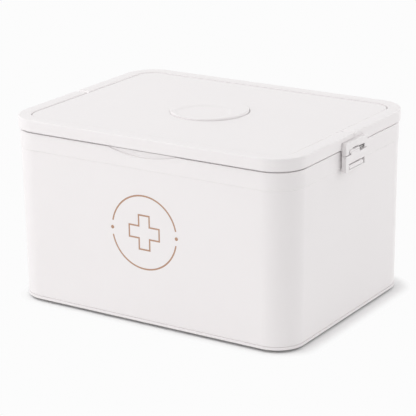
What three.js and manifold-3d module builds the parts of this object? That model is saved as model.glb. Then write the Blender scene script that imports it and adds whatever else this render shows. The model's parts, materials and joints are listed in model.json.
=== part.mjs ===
// Medicine storage box: a drafted tub with a lift-off lid, a carrying handle that folds into the
// front half of the lid's rim, a snap latch on each end, and a lift-out compartment tray.
// Millimetres, +Z up, X along the long side, the front faces -Y, origin at the footprint's centre.

import * as THREE from 'three';
import { mergeVertices } from 'three/addons/utils/BufferGeometryUtils.js';
import Module from 'manifold-3d';

// Plan outline of the rim, which every other outline is moved inward from
const rimLength = 320;
const rimDepth = 240;
const rimCorner = 32;
const cornerSteps = 8;

// Heights
const tubHeight = 173.5;
const rimHeight = 11.7;
const seamGap = 1.8;

// Clearances, and how far forms that make one solid run into each other
const touchGap = 0.3;
const slidePlay = 0.5;
const pinPlay = 0.1;
const bite = 0.4;

// Tub
const tubWall = 2.4;
const tubOverhang = 1.5;
const collarHeight = 17.5;
const collarStep = 0.6;
const tubDraft = 1.2;
const lipHeight = 3;
const lipProud = 0.2;
const lipRounding = 0.8;
const lipGroove = 0.8;
const lipGrooveDepth = 0.6;
const footHeight = 2.6;
const footInset = 9;
const footWidth = 6;
const floorThickness = 2.4;
const floorFillet = 6;
const tubRimRounding = 0.6;
const restRibDepth = 3.4;
const restRibWidth = 2.4;
const restRibAlong = 75;
const restRibAcross = 58;

// Finger scoop in the front of the collar
const scoopWidth = 82;
const scoopDrop = 6.5;
const scoopDepth = 1.2;

// Lid rim and handle
const rimBand = 13;
const rimWall = 2.2;
const rimTopThickness = 2.4;
const rimRounding = 1.5;
const channelGap = 0.5;
const channelWall = 2;
const shelfThickness = 1.1;
const shelfPlay = 0.8;
const barrelRadius = 5.3;
const barrelEndGap = 0.4;
const partingChamfer = 1.6;
const pivotY = -6;
const armBlock = 24;
const handleRibPitch = 40;
const handleRibWidth = 1.6;
const pivotPinRadius = 1.6;
const pivotBossDepth = 7;
const pivotBossHalfWidth = 6;
const pivotPinReach = 10;

// Plug wall under the lid and its seal
const plugWall = 3;
const plugPlay = 0.7;
const plugHeight = 8;
const sealGrooveDepth = 1.4;
const sealGrooveHeight = 2.4;
const sealGrooveDrop = 1.9;

// Lid panel
const panelThickness = 2;
const panelDrop = 0.8;
const panelRounding = 0.8;
const panelRibDepth = 5.2;
const panelRibWidth = 1.6;
const panelRibPitch = 52;

// Small-items well, a cup that hangs by its flange in a stepped collar of the panel, and its cap
const wellRadius = 34.7;
const wellWall = 1.8;
const wellDepth = 14.7;
const wellFloor = 2;
const wellRounding = 1.8;
const wellFlangeThickness = 1.4;
const wellLedge = 1.6;
const wellCollarWall = 1.8;
const capRadius = 39;
const capThickness = 2.7;
const capRecess = 1;
const capRecessPlay = 0.4;
const capRounding = 1.8;
const capPlugHeight = 5;
const capPlugWall = 1.6;
const dishRadius = 29;
const dishOffset = 13.6;
const dishDepth = 1.2;
const dishSlope = 4;

// Latches
const latchWidth = 43;
const latchY = -3.2;
const latchProud = 4.6;
const latchTopDrop = 5.7;
const latchRounding = 2;
const latchEdge = 0.7;
const cheekWidth = 6.2;
const hingeDrop = 2.1;
const knuckleRadius = 2.3;
const knuckleLength = 20.2;
const knuckleProud = 0.1;
const knuckleEnd = 1.5;
const knuckleTopGap = 0.8;
const knuckleFrontGap = 1;
const latchPinRadius = 1.2;
const latchPinRecess = 0.6;
const flapBottomDrop = 20.5;
const flapThickness = 2.4;
const flapSideWall = 2;
const flapBar = 2;
const flapDepth = 5.4;
const catchHeight = 4.3;
const catchFaceHeight = 2.4;
const catchLift = 0.4;
const catchWindowHeight = 5.8;
const catchTip = 0.3;
const catchTopSetback = 2.2;
const catchFrontPlay = 1;
const catchRearPlay = 1.8;

// Tray
const trayHeight = 42;
const trayTopDrop = 14;
const trayFlangePlay = 0.7;
const trayFlangeThickness = 2;
const trayWall = 1.6;
const trayDraft = 1;
const trayFloor = 1.8;
const trayFillet = 4;
const partitionThickness = 2.4;
const handSlotLength = 80;
const handSlotHeight = 22;
const handSlotDrop = 8;
const slotRibWidth = 1.2;
const slotRibDepth = 2;
const dividerThickness = 1.6;
const dividerHeight = 34;
const dividerCorner = 5;
const dividerPlay = 0.3;
const dividerStations = [-100, -50, 50, 100];
const dividerPlaces = [[-50, -1], [50, -1], [-50, 1], [50, 1]];

// Heights worked out from the sizes above
const rimBottom = tubHeight + seamGap;
const rimTop = rimBottom + rimHeight;
const lidSeat = tubHeight + touchGap;
const shelfTop = lidSeat + shelfThickness;
const panelTop = rimTop - panelDrop;
const panelBottom = panelTop - panelThickness;
const channelTop = panelBottom - touchGap;
const capSeat = panelTop - capRecess;
const wellLedgeTop = capSeat - wellFlangeThickness - touchGap;
const pivotZ = rimTop - barrelRadius;
const hingeZ = tubHeight - hingeDrop;
const bracketTop = rimTop - latchTopDrop;
const flapTop = hingeZ - knuckleRadius - touchGap;
const flapBottom = tubHeight - flapBottomDrop;
const windowBottom = flapBottom + flapBar;
const floorTop = footHeight + floorThickness;
const lipTop = footHeight + lipHeight;
const collarBottom = tubHeight - collarHeight;
const trayTop = tubHeight - trayTopDrop;
const trayBottom = trayTop - trayHeight;
const trayFloorTop = trayBottom + trayFloor;
const restRibTop = trayTop - trayFlangeThickness - touchGap;

// Insets worked out from the sizes above, all counted inward from the rim's outline
const collarInset = tubOverhang;
const bodyTopInset = collarInset + collarStep;
const bodyBaseInset = bodyTopInset + tubDraft;
const lipInset = bodyBaseInset - lipProud;
const lipGrooveInset = bodyBaseInset + lipGrooveDepth;
const footOuterInset = bodyBaseInset + footInset;
const collarInnerInset = collarInset + tubWall;
const bodyInnerInset = bodyTopInset + tubWall;
const restRibInset = bodyInnerInset + restRibDepth;
const shelfInset = rimWall + shelfPlay;
const plugInset = collarInnerInset + plugPlay;
const plugInnerInset = plugInset + plugWall;
const channelInset = rimBand + channelGap;
const channelInnerInset = channelInset + channelWall;
const trayFlangeInset = bodyInnerInset + trayFlangePlay;
const trayInset = restRibInset + touchGap;

// Radii that the cap, the well and their seat in the panel share
const seatRadius = capRadius + capRecessPlay;
const wellOuterRadius = wellRadius + wellWall;

// Places across the box
const endX = rimLength / 2;
const frontY = -rimDepth / 2;
const latchFace = endX + latchProud;
const hingeX = latchFace - knuckleRadius + knuckleProud;
const latchFront = latchY - latchWidth / 2;
const latchRear = latchY + latchWidth / 2;
const rearRimStart = pivotY + barrelRadius + barrelEndGap;
const beyond = 10;

const wasm = await Module();
wasm.setup();

// Closed geometry to a solid, and back
function toSolid(geometry) {
  const bare = geometry.clone();
  bare.deleteAttribute('normal');
  bare.deleteAttribute('uv');
  const merged = mergeVertices(bare, 1e-4);
  return new wasm.Manifold(new wasm.Mesh({
    numProp: 3,
    vertProperties: new Float32Array(merged.attributes.position.array),
    triVerts: new Uint32Array(merged.index.array),
  }));
}

function toGeometry(solid) {
  const mesh = solid.getMesh();
  const geometry = new THREE.BufferGeometry();
  geometry.setAttribute('position', new THREE.BufferAttribute(new Float32Array(mesh.vertProperties), 3));
  geometry.setIndex(new THREE.BufferAttribute(new Uint32Array(mesh.triVerts), 1));
  const facets = geometry.toNonIndexed();
  facets.computeVertexNormals();
  return facets;
}

function join(solids) {
  return solids.reduce((sum, solid) => sum.add(solid));
}

// Points of the rim's plan outline moved inward, counter-clockwise
function outline(inset) {
  const radius = rimCorner - inset;
  const centreX = rimLength / 2 - rimCorner;
  const centreY = rimDepth / 2 - rimCorner;
  const points = [];
  for (const [signX, signY, start] of [[1, 1, 0], [-1, 1, 1], [-1, -1, 2], [1, -1, 3]]) {
    for (let step = 0; step <= cornerSteps; step += 1) {
      const angle = (start + step / cornerSteps) * Math.PI / 2;
      const x = signX * centreX + radius * Math.cos(angle);
      const y = signY * centreY + radius * Math.sin(angle);
      points.push([x, y]);
    }
  }
  return points;
}

// Solid stacked from outlines, each given as [inset, height], bottom first
function stack(levels) {
  const positions = [];
  const indices = [];
  const count = 4 * (cornerSteps + 1);
  for (const [inset, z] of levels) {
    for (const [x, y] of outline(inset)) {
      positions.push(x, y, z);
    }
  }
  for (let level = 0; level + 1 < levels.length; level += 1) {
    for (let point = 0; point < count; point += 1) {
      const a = level * count + point;
      const b = level * count + (point + 1) % count;
      indices.push(a, b, b + count, a, b + count, a + count);
    }
  }
  const bottomCentre = levels.length * count;
  const topCentre = bottomCentre + 1;
  positions.push(0, 0, levels[0][1], 0, 0, levels[levels.length - 1][1]);
  const topStart = (levels.length - 1) * count;
  for (let point = 0; point < count; point += 1) {
    const next = (point + 1) % count;
    indices.push(bottomCentre, next, point, topCentre, topStart + point, topStart + next);
  }
  const geometry = new THREE.BufferGeometry();
  geometry.setAttribute('position', new THREE.Float32BufferAttribute(positions, 3));
  geometry.setIndex(indices);
  return toSolid(geometry);
}

// Upright ring between two outlines
function band(outerInset, innerInset, bottom, top) {
  const outer = stack([[outerInset, bottom], [outerInset, top]]);
  return outer.subtract(stack([[innerInset, bottom - 1], [innerInset, top + 1]]));
}

// Levels of a quarter round that leads the wall into a flat top, and out of a flat bottom
function roundTop(inset, top, radius, steps = 3) {
  return Array.from({ length: steps + 1 }, (_, step) => {
    const angle = step / steps * Math.PI / 2;
    return [inset + radius * (1 - Math.cos(angle)), top - radius * (1 - Math.sin(angle))];
  });
}

function roundBottom(inset, bottom, radius, steps = 3) {
  return Array.from({ length: steps + 1 }, (_, step) => {
    const angle = step / steps * Math.PI / 2;
    return [inset + radius * (1 - Math.sin(angle)), bottom + radius * (1 - Math.cos(angle))];
  });
}

function block([x0, x1], [y0, y1], [z0, z1]) {
  const geometry = new THREE.BoxGeometry(Math.abs(x1 - x0), Math.abs(y1 - y0), Math.abs(z1 - z0));
  geometry.translate((x0 + x1) / 2, (y0 + y1) / 2, (z0 + z1) / 2);
  return toSolid(geometry);
}

// Round bars along X and along Y
function barX(radius, [x0, x1], y, z, sides = 32) {
  const geometry = new THREE.CylinderGeometry(radius, radius, Math.abs(x1 - x0), sides);
  geometry.rotateZ(Math.PI / 2);
  geometry.translate((x0 + x1) / 2, y, z);
  return toSolid(geometry);
}

function barY(radius, x, [y0, y1], z, sides = 32) {
  const geometry = new THREE.CylinderGeometry(radius, radius, Math.abs(y1 - y0), sides);
  geometry.translate(x, (y0 + y1) / 2, z);
  return toSolid(geometry);
}

// Round solid about the vertical axis from a profile of [radius, height] points
function turned(profile, sides = 48) {
  const geometry = new THREE.LatheGeometry(profile.map(([r, z]) => new THREE.Vector2(r, z)), sides);
  geometry.rotateX(Math.PI / 2);
  return toSolid(geometry);
}

// Prism of an outline drawn in X and Z, running along Y
function prismY(shape, [y0, y1]) {
  const geometry = new THREE.ExtrudeGeometry(shape, { depth: y1 - y0, bevelEnabled: false, curveSegments: 12 });
  geometry.rotateX(Math.PI / 2);
  geometry.translate(0, y1, 0);
  return toSolid(geometry);
}

// Tub

function scoopCutter() {
  const half = scoopWidth / 2;
  const radius = (half * half + scoopDrop * scoopDrop) / (2 * scoopDrop);
  const sweep = Math.asin(half / radius);
  const shape = new THREE.Shape();
  shape.absarc(0, tubHeight - scoopDrop + radius, radius, -Math.PI / 2 - sweep, -Math.PI / 2 + sweep, false);
  shape.lineTo(half, tubHeight + 1);
  shape.lineTo(-half, tubHeight + 1);
  const face = frontY + collarInset;
  return prismY(shape, [face - 1, face + scoopDepth]);
}

function restRibs() {
  const ribs = [];
  const heights = [footHeight + floorThickness / 2, restRibTop];
  const buried = bodyInnerInset - tubWall / 4;
  const halfRib = restRibWidth / 2;
  for (const side of [-1, 1]) {
    for (const place of [-1, 1]) {
      const x = place * restRibAlong;
      const y = place * restRibAcross;
      const depthY = [side * (rimDepth / 2 - buried), side * (rimDepth / 2 - restRibInset)];
      const depthX = [side * (endX - buried), side * (endX - restRibInset)];
      ribs.push(block([x - halfRib, x + halfRib], depthY, heights));
      ribs.push(block(depthX, [y - halfRib, y + halfRib], heights));
    }
  }
  return ribs;
}

// Wedge that the latch's bar hooks under
function latchCatch(side) {
  const wallX = endX - collarInset - tubWall / 2;
  const tipX = latchFace - catchTip;
  const bottom = windowBottom + catchLift;
  const shape = new THREE.Shape();
  shape.moveTo(side * wallX, bottom);
  shape.lineTo(side * tipX, bottom);
  shape.lineTo(side * tipX, bottom + catchFaceHeight);
  shape.lineTo(side * (tipX - catchTopSetback), bottom + catchHeight);
  shape.lineTo(side * wallX, bottom + catchHeight);
  const window = latchWidth / 2 - cheekWidth;
  return prismY(shape, [latchY - window + catchFrontPlay, latchY + window - catchRearPlay]);
}

function makeTub() {
  const outer = stack([
    [footOuterInset, 0],
    [footOuterInset, footHeight],
    ...roundBottom(lipInset, footHeight, lipRounding),
    [lipInset, lipTop],
    [lipGrooveInset, lipTop],
    [lipGrooveInset, lipTop + lipGroove],
    [bodyBaseInset, lipTop + lipGroove],
    [bodyTopInset, collarBottom],
    [collarInset, collarBottom + collarStep],
    ...roundTop(collarInset, tubHeight, tubRimRounding, 2),
  ]);
  const inner = stack([
    ...roundBottom(bodyBaseInset + tubWall, floorTop, floorFillet, 4),
    [bodyInnerInset, collarBottom],
    [collarInnerInset, collarBottom + collarStep],
    [collarInnerInset, tubHeight + 1],
  ]);
  const underside = footOuterInset + footWidth;
  const recess = stack([[underside, -1], [underside, footHeight]]);
  return join([outer.subtract(inner).subtract(recess), ...restRibs(), latchCatch(-1), latchCatch(1)])
    .subtract(scoopCutter());
}

// Lid

// The whole height and band of the rim, with its rounded top edge
function rimRing() {
  const outer = stack([[0, rimBottom], ...roundTop(0, rimTop, rimRounding)]);
  return outer.subtract(stack([[rimBand, rimBottom - 1], [rimBand, rimTop + 1]]));
}

function rearHalf(from) {
  return block([-rimLength, rimLength], [from, rimDepth], [0, 2 * rimTop]);
}

function frontHalf(to) {
  return block([-rimLength, rimLength], [-rimDepth, to], [0, 2 * rimTop]);
}

// Outline that the latch's bracket and flap share, rounded at its corners and outer edges
function latchEnvelope(side) {
  const half = latchWidth / 2 - latchRounding;
  const shape = new THREE.Shape();
  shape.absarc(latchY + half, bracketTop - latchRounding, latchRounding, 0, Math.PI / 2, false);
  shape.absarc(latchY - half, bracketTop - latchRounding, latchRounding, Math.PI / 2, Math.PI, false);
  shape.absarc(latchY - half, flapBottom + latchRounding, latchRounding, Math.PI, 1.5 * Math.PI, false);
  shape.absarc(latchY + half, flapBottom + latchRounding, latchRounding, 1.5 * Math.PI, 2 * Math.PI, false);
  const depth = latchProud + 2 * beyond;
  const geometry = new THREE.ExtrudeGeometry(shape, {
    depth: depth - latchEdge,
    bevelThickness: latchEdge,
    bevelSize: latchEdge,
    bevelOffset: -latchEdge,
    bevelSegments: 2,
    curveSegments: 4,
  });
  geometry.rotateX(Math.PI / 2);
  geometry.rotateZ(Math.PI / 2);
  if (side > 0) {
    geometry.translate(latchFace - depth, 0, 0);
  } else {
    geometry.translate(-latchFace + latchEdge, 0, 0);
  }
  return toSolid(geometry);
}

// Fixed half of a latch: two legs out from the shelf, a bar across them and two hinge cheeks
function latchBracket(side) {
  const legX = [side * (endX - plugInset + bite), side * (latchFace + 1)];
  const crossX = [side * (endX + slidePlay), side * (latchFace + 1)];
  const frontLegEnd = pivotY - barrelRadius - slidePlay;
  const windowTop = hingeZ + knuckleRadius + knuckleTopGap;
  const legBottom = lidSeat + bite;
  const pieces = [
    block(legX, [latchFront - 1, frontLegEnd], [legBottom, bracketTop + 1]),
    block(legX, [rearRimStart + bite, latchRear + 1], [legBottom, bracketTop + 1]),
    block(crossX, [latchFront - 1, latchRear + 1], [windowTop, bracketTop + 1]),
  ];
  const inner = hingeX - knuckleRadius;
  const cheek = new THREE.Shape();
  cheek.moveTo(side * (latchFace + 1), legBottom + 1);
  cheek.lineTo(side * inner, legBottom + 1);
  cheek.absarc(side * hingeX, hingeZ, knuckleRadius, side > 0 ? Math.PI : 0, side > 0 ? 0 : Math.PI, side < 0);
  cheek.lineTo(side * (latchFace + 1), hingeZ);
  for (const y of [latchFront - 1, latchRear - cheekWidth]) {
    pieces.push(prismY(cheek, [y, y + cheekWidth + 1]));
  }
  const pinHole = barY(latchPinRadius + pinPlay, side * hingeX, [latchFront - 2, latchRear + 2], hingeZ);
  return join(pieces).intersect(latchEnvelope(side)).subtract(pinHole);
}

function pivotBoss(side) {
  const x0 = side * (endX - channelInset - bite);
  const x1 = side * (endX - channelInset - pivotBossDepth);
  const width = [pivotY - pivotBossHalfWidth, pivotY + pivotBossHalfWidth];
  return block([x0, x1], width, [shelfTop, channelTop - bite / 2]);
}

function pivotPinSpan(side, extra) {
  const inner = endX - channelInset - pivotBossDepth;
  return [side * (inner - extra), side * (endX - channelGap - rimBand + pivotPinReach + extra)];
}

function makeLidFrame() {
  const rearRim = rimRing().intersect(rearHalf(rearRimStart));
  const rearFill = band(shelfInset + bite, channelInset + bite, lidSeat + bite, channelTop - bite)
    .intersect(rearHalf(rearRimStart + bite));
  const core = band(plugInnerInset + bite, rimBand - channelWall, lidSeat - beyond, rimTop - rimTopThickness)
    .intersect(rearHalf(rearRimStart + rimWall));
  const shelf = band(shelfInset, channelInset + bite, lidSeat, shelfTop);
  const wall = band(channelInset, channelInnerInset, lidSeat - bite, channelTop);
  const plugBottom = lidSeat - plugHeight;
  const plug = band(plugInset, plugInnerInset, plugBottom, shelfTop - bite);
  const grooveTop = lidSeat - sealGrooveDrop;
  const groove = band(plugInset - 1, plugInset + sealGrooveDepth, grooveTop - sealGrooveHeight, grooveTop);
  let frame = join([rearRim, rearFill, shelf]).subtract(core);
  frame = join([frame, wall, plug, ...[-1, 1].map(pivotBoss), ...[-1, 1].map(latchBracket)]).subtract(groove);
  for (const side of [-1, 1]) {
    frame = frame.subtract(barX(pivotPinRadius + pinPlay, pivotPinSpan(side, 1), pivotY, pivotZ));
  }
  return frame.subtract(barX(partingChamfer, [-endX - 1, endX + 1], rearRimStart, rimTop, 4));
}

function makeLidSeal() {
  const grooveTop = lidSeat - sealGrooveDrop;
  const outer = collarInnerInset + touchGap;
  const inner = plugInset + sealGrooveDepth - touchGap;
  return band(outer, inner, grooveTop - sealGrooveHeight + touchGap, grooveTop - touchGap);
}

function makeLidPanel() {
  const plate = stack([[channelInset, panelBottom], ...roundTop(channelInset, panelTop, panelRounding, 2)]);
  const wallInset = channelInnerInset + barrelEndGap;
  const ribBottom = panelBottom - panelRibDepth;
  let rim = band(wallInset, wallInset + panelRibWidth, ribBottom, panelBottom + 1);
  for (const side of [-1, 1]) {
    const bossInner = endX - channelInset - pivotBossDepth - slidePlay;
    const width = pivotBossHalfWidth + slidePlay;
    const room = [pivotY - width, pivotY + width];
    rim = rim.subtract(block([side * bossInner, side * endX], room, [0, panelBottom + bite]));
  }
  const reachX = endX - wallInset - panelRibWidth / 2;
  const reachY = rimDepth / 2 - wallInset - panelRibWidth / 2;
  const ribHeights = [ribBottom + bite, panelBottom + bite];
  const ribs = [];
  const half = panelRibWidth / 2;
  for (const side of [-1, 1]) {
    const y = side * panelRibPitch;
    ribs.push(block([-reachX, reachX], [y - half, y + half], ribHeights));
    for (const count of [1, 2]) {
      const x = side * count * panelRibPitch;
      ribs.push(block([x - half, x + half], [-reachY, reachY], ribHeights));
    }
  }
  const collarRadius = seatRadius + wellCollarWall;
  const boreRadius = wellOuterRadius + touchGap;
  const collar = turned([
    [0, wellLedgeTop - wellLedge],
    [collarRadius, wellLedgeTop - wellLedge],
    [collarRadius, panelBottom + bite],
    [0, panelBottom + bite],
  ]);
  const bore = turned([
    [0, ribBottom - 1],
    [boreRadius, ribBottom - 1],
    [boreRadius, wellLedgeTop],
    [seatRadius, wellLedgeTop],
    [seatRadius, panelTop + 1],
    [0, panelTop + 1],
  ]);
  return join([plate, rim, ...ribs, collar]).subtract(bore);
}

function makeLidWell() {
  const bottom = panelTop - wellDepth - wellFloor;
  const floor = bottom + wellFloor;
  const foot = roundBottom(0, bottom, wellRounding).map(([inset, z]) => [wellOuterRadius - inset, z]);
  const flangeRadius = seatRadius - touchGap;
  return turned([
    [0, bottom],
    ...foot,
    [wellOuterRadius, wellLedgeTop + touchGap],
    [flangeRadius, wellLedgeTop + touchGap],
    [flangeRadius, capSeat],
    [wellRadius, capSeat],
    [wellRadius, floor],
    [0, floor],
  ]);
}

function makeWellCap() {
  const bottom = capSeat + touchGap;
  const top = bottom + capThickness;
  const plugOuter = wellRadius - slidePlay;
  const plugInner = plugOuter - capPlugWall;
  const edge = roundTop(0, top, capRounding).map(([inset, z]) => [capRadius - inset, z]);
  const cap = turned([
    [0, bottom],
    [plugInner, bottom],
    [plugInner, bottom - capPlugHeight],
    [plugOuter, bottom - capPlugHeight],
    [plugOuter, bottom],
    [capRadius, bottom],
    ...edge,
    [0, top],
  ]);
  const dish = new THREE.LatheGeometry([
    [0, top - dishDepth],
    [dishRadius - dishSlope, top - dishDepth],
    [dishRadius, top],
    [dishRadius, top + 1],
    [0, top + 1],
  ].map(([r, z]) => new THREE.Vector2(r, z)), 48);
  dish.rotateX(Math.PI / 2);
  dish.translate(0, -dishOffset, 0);
  return cap.subtract(toSolid(dish));
}

function makePivotPin(side) {
  return barX(pivotPinRadius, pivotPinSpan(side, 0), pivotY, pivotZ);
}

function makeLatchPin(side) {
  const ends = [latchFront + latchPinRecess, latchRear - latchPinRecess];
  return barY(latchPinRadius, side * hingeX, ends, hingeZ);
}

// Handle: the front half of the rim, a channel section with solid ends that turn about the pivots

function handleRibs() {
  const ribs = [];
  const reach = endX - rimCorner - handleRibPitch / 4;
  const count = Math.floor(reach / handleRibPitch);
  const heights = [shelfTop + slidePlay, rimTop - rimTopThickness / 2];
  for (let place = -count; place <= count; place += 1) {
    const x = place * handleRibPitch;
    const depths = [frontY + rimWall / 2, frontY + rimBand - rimWall / 2];
    ribs.push(block([x - handleRibWidth / 2, x + handleRibWidth / 2], depths, heights));
  }
  return ribs;
}

function makeHandle() {
  const ring = rimRing();
  const underside = shelfTop + touchGap;
  const hollow = band(rimWall + bite / 4, rimBand - rimWall, underside - bite, rimTop - rimTopThickness)
    .intersect(frontHalf(pivotY - armBlock));
  const clearance = stack([[rimWall, 0], [rimWall, underside]]);
  let handle = ring.intersect(frontHalf(pivotY)).subtract(clearance).subtract(hollow);
  handle = join([handle, ...handleRibs()]);
  for (const side of [-1, 1]) {
    const notchX = [side * (endX - plugInset - slidePlay), side * (endX + 1)];
    const notchY = [latchFront - slidePlay, pivotY + 1];
    handle = handle.subtract(block(notchX, notchY, [0, bracketTop + touchGap]));
    const barrel = barX(barrelRadius, [side * (endX - rimBand), side * endX], pivotY, pivotZ, 48);
    const rimSection = stack([[0, 0], ...roundTop(0, rimTop, rimRounding)]);
    handle = handle.add(barrel.intersect(rimSection));
    handle = handle.subtract(barX(pivotPinRadius + pinPlay, pivotPinSpan(side, 1), pivotY, pivotZ));
  }
  return handle;
}

// Latch flap: a knuckle on the pin, a face with the catch window, side walls and the bar below

function makeLatchFlap(side) {
  const knuckleStart = latchFront + cheekWidth + knuckleFrontGap;
  const rounding = knuckleRadius - knuckleEnd;
  const profile = [[0, 0]];
  const steps = 3;
  for (let step = 0; step <= steps; step += 1) {
    const angle = step / steps * Math.PI / 2;
    profile.push([knuckleEnd + rounding * Math.sin(angle), rounding * (1 - Math.cos(angle))]);
  }
  profile.push([knuckleRadius, knuckleLength], [0, knuckleLength]);
  const knuckle = new THREE.LatheGeometry(profile.map(([r, z]) => new THREE.Vector2(r, z)), 32);
  knuckle.translate(side * hingeX, knuckleStart, hingeZ);
  const outside = side * (latchFace + 1);
  const neckY = [knuckleStart + rounding + bite, knuckleStart + knuckleLength - bite];
  const shellX = [side * (latchFace - flapDepth), outside];
  const shell = block(shellX, [latchFront - 1, latchRear + 1], [flapBottom - 1, flapTop]);
  const hollow = block([side * (latchFace - flapDepth - 1), side * (latchFace - flapThickness)],
    [latchFront + flapSideWall, latchRear - flapSideWall], [windowBottom, flapTop + 1]);
  const neck = block([side * (hingeX + bite), outside], neckY, [flapTop - bite, hingeZ]);
  const window = latchWidth / 2 - cheekWidth;
  const cutter = block([side * (latchFace - flapDepth - 2), side * (latchFace + 2)],
    [latchY - window, latchY + window], [windowBottom - bite / 4, windowBottom + catchWindowHeight]);
  const pinHole = barY(latchPinRadius + pinPlay, side * hingeX, [latchFront, latchRear], hingeZ);
  return join([toSolid(knuckle), shell.subtract(hollow), neck])
    .subtract(cutter)
    .intersect(latchEnvelope(side))
    .subtract(pinHole);
}

// Tray

function handSlotCutter() {
  const radius = handSlotHeight / 2;
  const centreZ = trayTop - handSlotDrop - radius;
  const reach = handSlotLength / 2 - radius;
  const shape = new THREE.Shape();
  shape.absarc(reach, centreZ, radius, -Math.PI / 2, Math.PI / 2, false);
  shape.absarc(-reach, centreZ, radius, Math.PI / 2, 1.5 * Math.PI, false);
  return prismY(shape, [-partitionThickness, partitionThickness]);
}

// Half the tray's inside depth at a height, from the partition's middle to the long wall
function trayInnerY(z) {
  const lean = trayDraft * (trayTop - z) / trayHeight;
  return rimDepth / 2 - trayInset - trayWall - lean;
}

function slotRibs() {
  const ribs = [];
  const heights = [trayFloorTop - 1, trayFloorTop + dividerHeight];
  const apart = dividerThickness / 2 + dividerPlay + slotRibWidth / 2;
  const wallY = trayInnerY(trayTop) + trayWall / 2;
  const ribY = trayInnerY(trayFloorTop) - slotRibDepth;
  const coreY = partitionThickness / 2;
  for (const station of dividerStations) {
    for (const offset of [-apart, apart]) {
      const x = [station + offset - slotRibWidth / 2, station + offset + slotRibWidth / 2];
      for (const row of [-1, 1]) {
        ribs.push(block(x, [row * wallY, row * ribY], heights));
        ribs.push(block(x, [row * (coreY - 1), row * (coreY + slotRibDepth)], heights));
      }
    }
  }
  return ribs;
}

function makeTray() {
  const outer = stack([
    ...roundBottom(trayInset + trayDraft, trayBottom, trayFillet),
    [trayInset, trayTop - trayFlangeThickness],
    [trayFlangeInset, trayTop - trayFlangeThickness],
    [trayFlangeInset, trayTop],
  ]);
  const inner = stack([
    ...roundBottom(trayInset + trayDraft + trayWall, trayFloorTop, trayFillet - trayWall),
    [trayInset + trayWall, trayTop],
    [trayInset + trayWall, trayTop + 1],
  ]);
  const reach = endX - trayInset - trayWall / 2 - trayDraft;
  const half = partitionThickness / 2;
  const partition = block([-reach, reach], [-half, half], [trayFloorTop - 1, trayTop]);
  return join([outer.subtract(inner), partition, ...slotRibs()]).subtract(handSlotCutter());
}

// Divider plate standing in its slots, rounded at its top corners
function makeDivider(place, row) {
  const near = partitionThickness / 2 + dividerPlay;
  const far = trayInnerY(trayFloorTop) - dividerPlay;
  const bottom = trayFloorTop + touchGap;
  const top = bottom + dividerHeight;
  const foot = trayFillet - trayWall;
  const shape = new THREE.Shape();
  shape.moveTo(near, bottom);
  shape.lineTo(far - foot, bottom);
  shape.lineTo(far, bottom + foot);
  shape.absarc(far - dividerCorner, top - dividerCorner, dividerCorner, 0, Math.PI / 2, false);
  shape.absarc(near + dividerCorner, top - dividerCorner, dividerCorner, Math.PI / 2, Math.PI, false);
  const geometry = new THREE.ExtrudeGeometry(shape, {
    depth: dividerThickness,
    bevelEnabled: false,
    curveSegments: 4,
  });
  geometry.rotateX(Math.PI / 2);
  geometry.rotateZ(row > 0 ? Math.PI / 2 : -Math.PI / 2);
  geometry.translate(place - row * dividerThickness / 2, 0, 0);
  return toSolid(geometry);
}

// Materials

function plastic(name, colour, roughness) {
  return new THREE.MeshStandardMaterial({ name, color: colour, roughness, metalness: 0 });
}

const whitePlastic = plastic('white_plastic', 0xf1f0ee, 0.45);
const trayPlastic = plastic('tray_plastic', 0xeeedeb, 0.4);
const sealRubber = plastic('seal_rubber', 0xd9d8d4, 0.7);
const pinSteel = new THREE.MeshStandardMaterial({
  name: 'pin_steel',
  color: 0xb9bbbd,
  roughness: 0.35,
  metalness: 1,
});

// Assembly

function piece(name, solid, material) {
  const mesh = new THREE.Mesh(toGeometry(solid), material.clone());
  mesh.name = name;
  return mesh;
}

const sides = [['left', -1], ['right', 1]];

const lid = new THREE.Group();
lid.add(
  piece('lid_frame', makeLidFrame(), whitePlastic),
  piece('lid_panel', makeLidPanel(), whitePlastic),
  piece('lid_well', makeLidWell(), whitePlastic),
  piece('lid_seal', makeLidSeal(), sealRubber),
  piece('well_cap', makeWellCap(), whitePlastic),
  piece('handle', makeHandle(), whitePlastic),
);
for (const [name, side] of sides) {
  lid.add(piece(`handle_pivot_${name}`, makePivotPin(side), pinSteel));
  lid.add(piece(`latch_pin_${name}`, makeLatchPin(side), pinSteel));
  lid.add(piece(`latch_${name}`, makeLatchFlap(side), whitePlastic));
}

const tray = new THREE.Group();
tray.add(piece('tray', makeTray(), trayPlastic));
dividerPlaces.forEach(([place, row], index) => {
  tray.add(piece(`tray_divider_${index + 1}`, makeDivider(place, row), trayPlastic));
});

const box = new THREE.Group();
box.name = 'medicine_storage_box';
box.add(piece('tub', makeTub(), whitePlastic), lid, tray);

export default box;
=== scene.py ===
"""Looks for the medicine storage box.

Every piece of the fixed frame is modelled again at its own size with finer curves and softened
edges, given its moulded, rubber or metal finish, and shown on a pale floor under soft light.
"""

import json
import math

import bmesh
import bpy
from mathutils import Matrix, Vector


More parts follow.
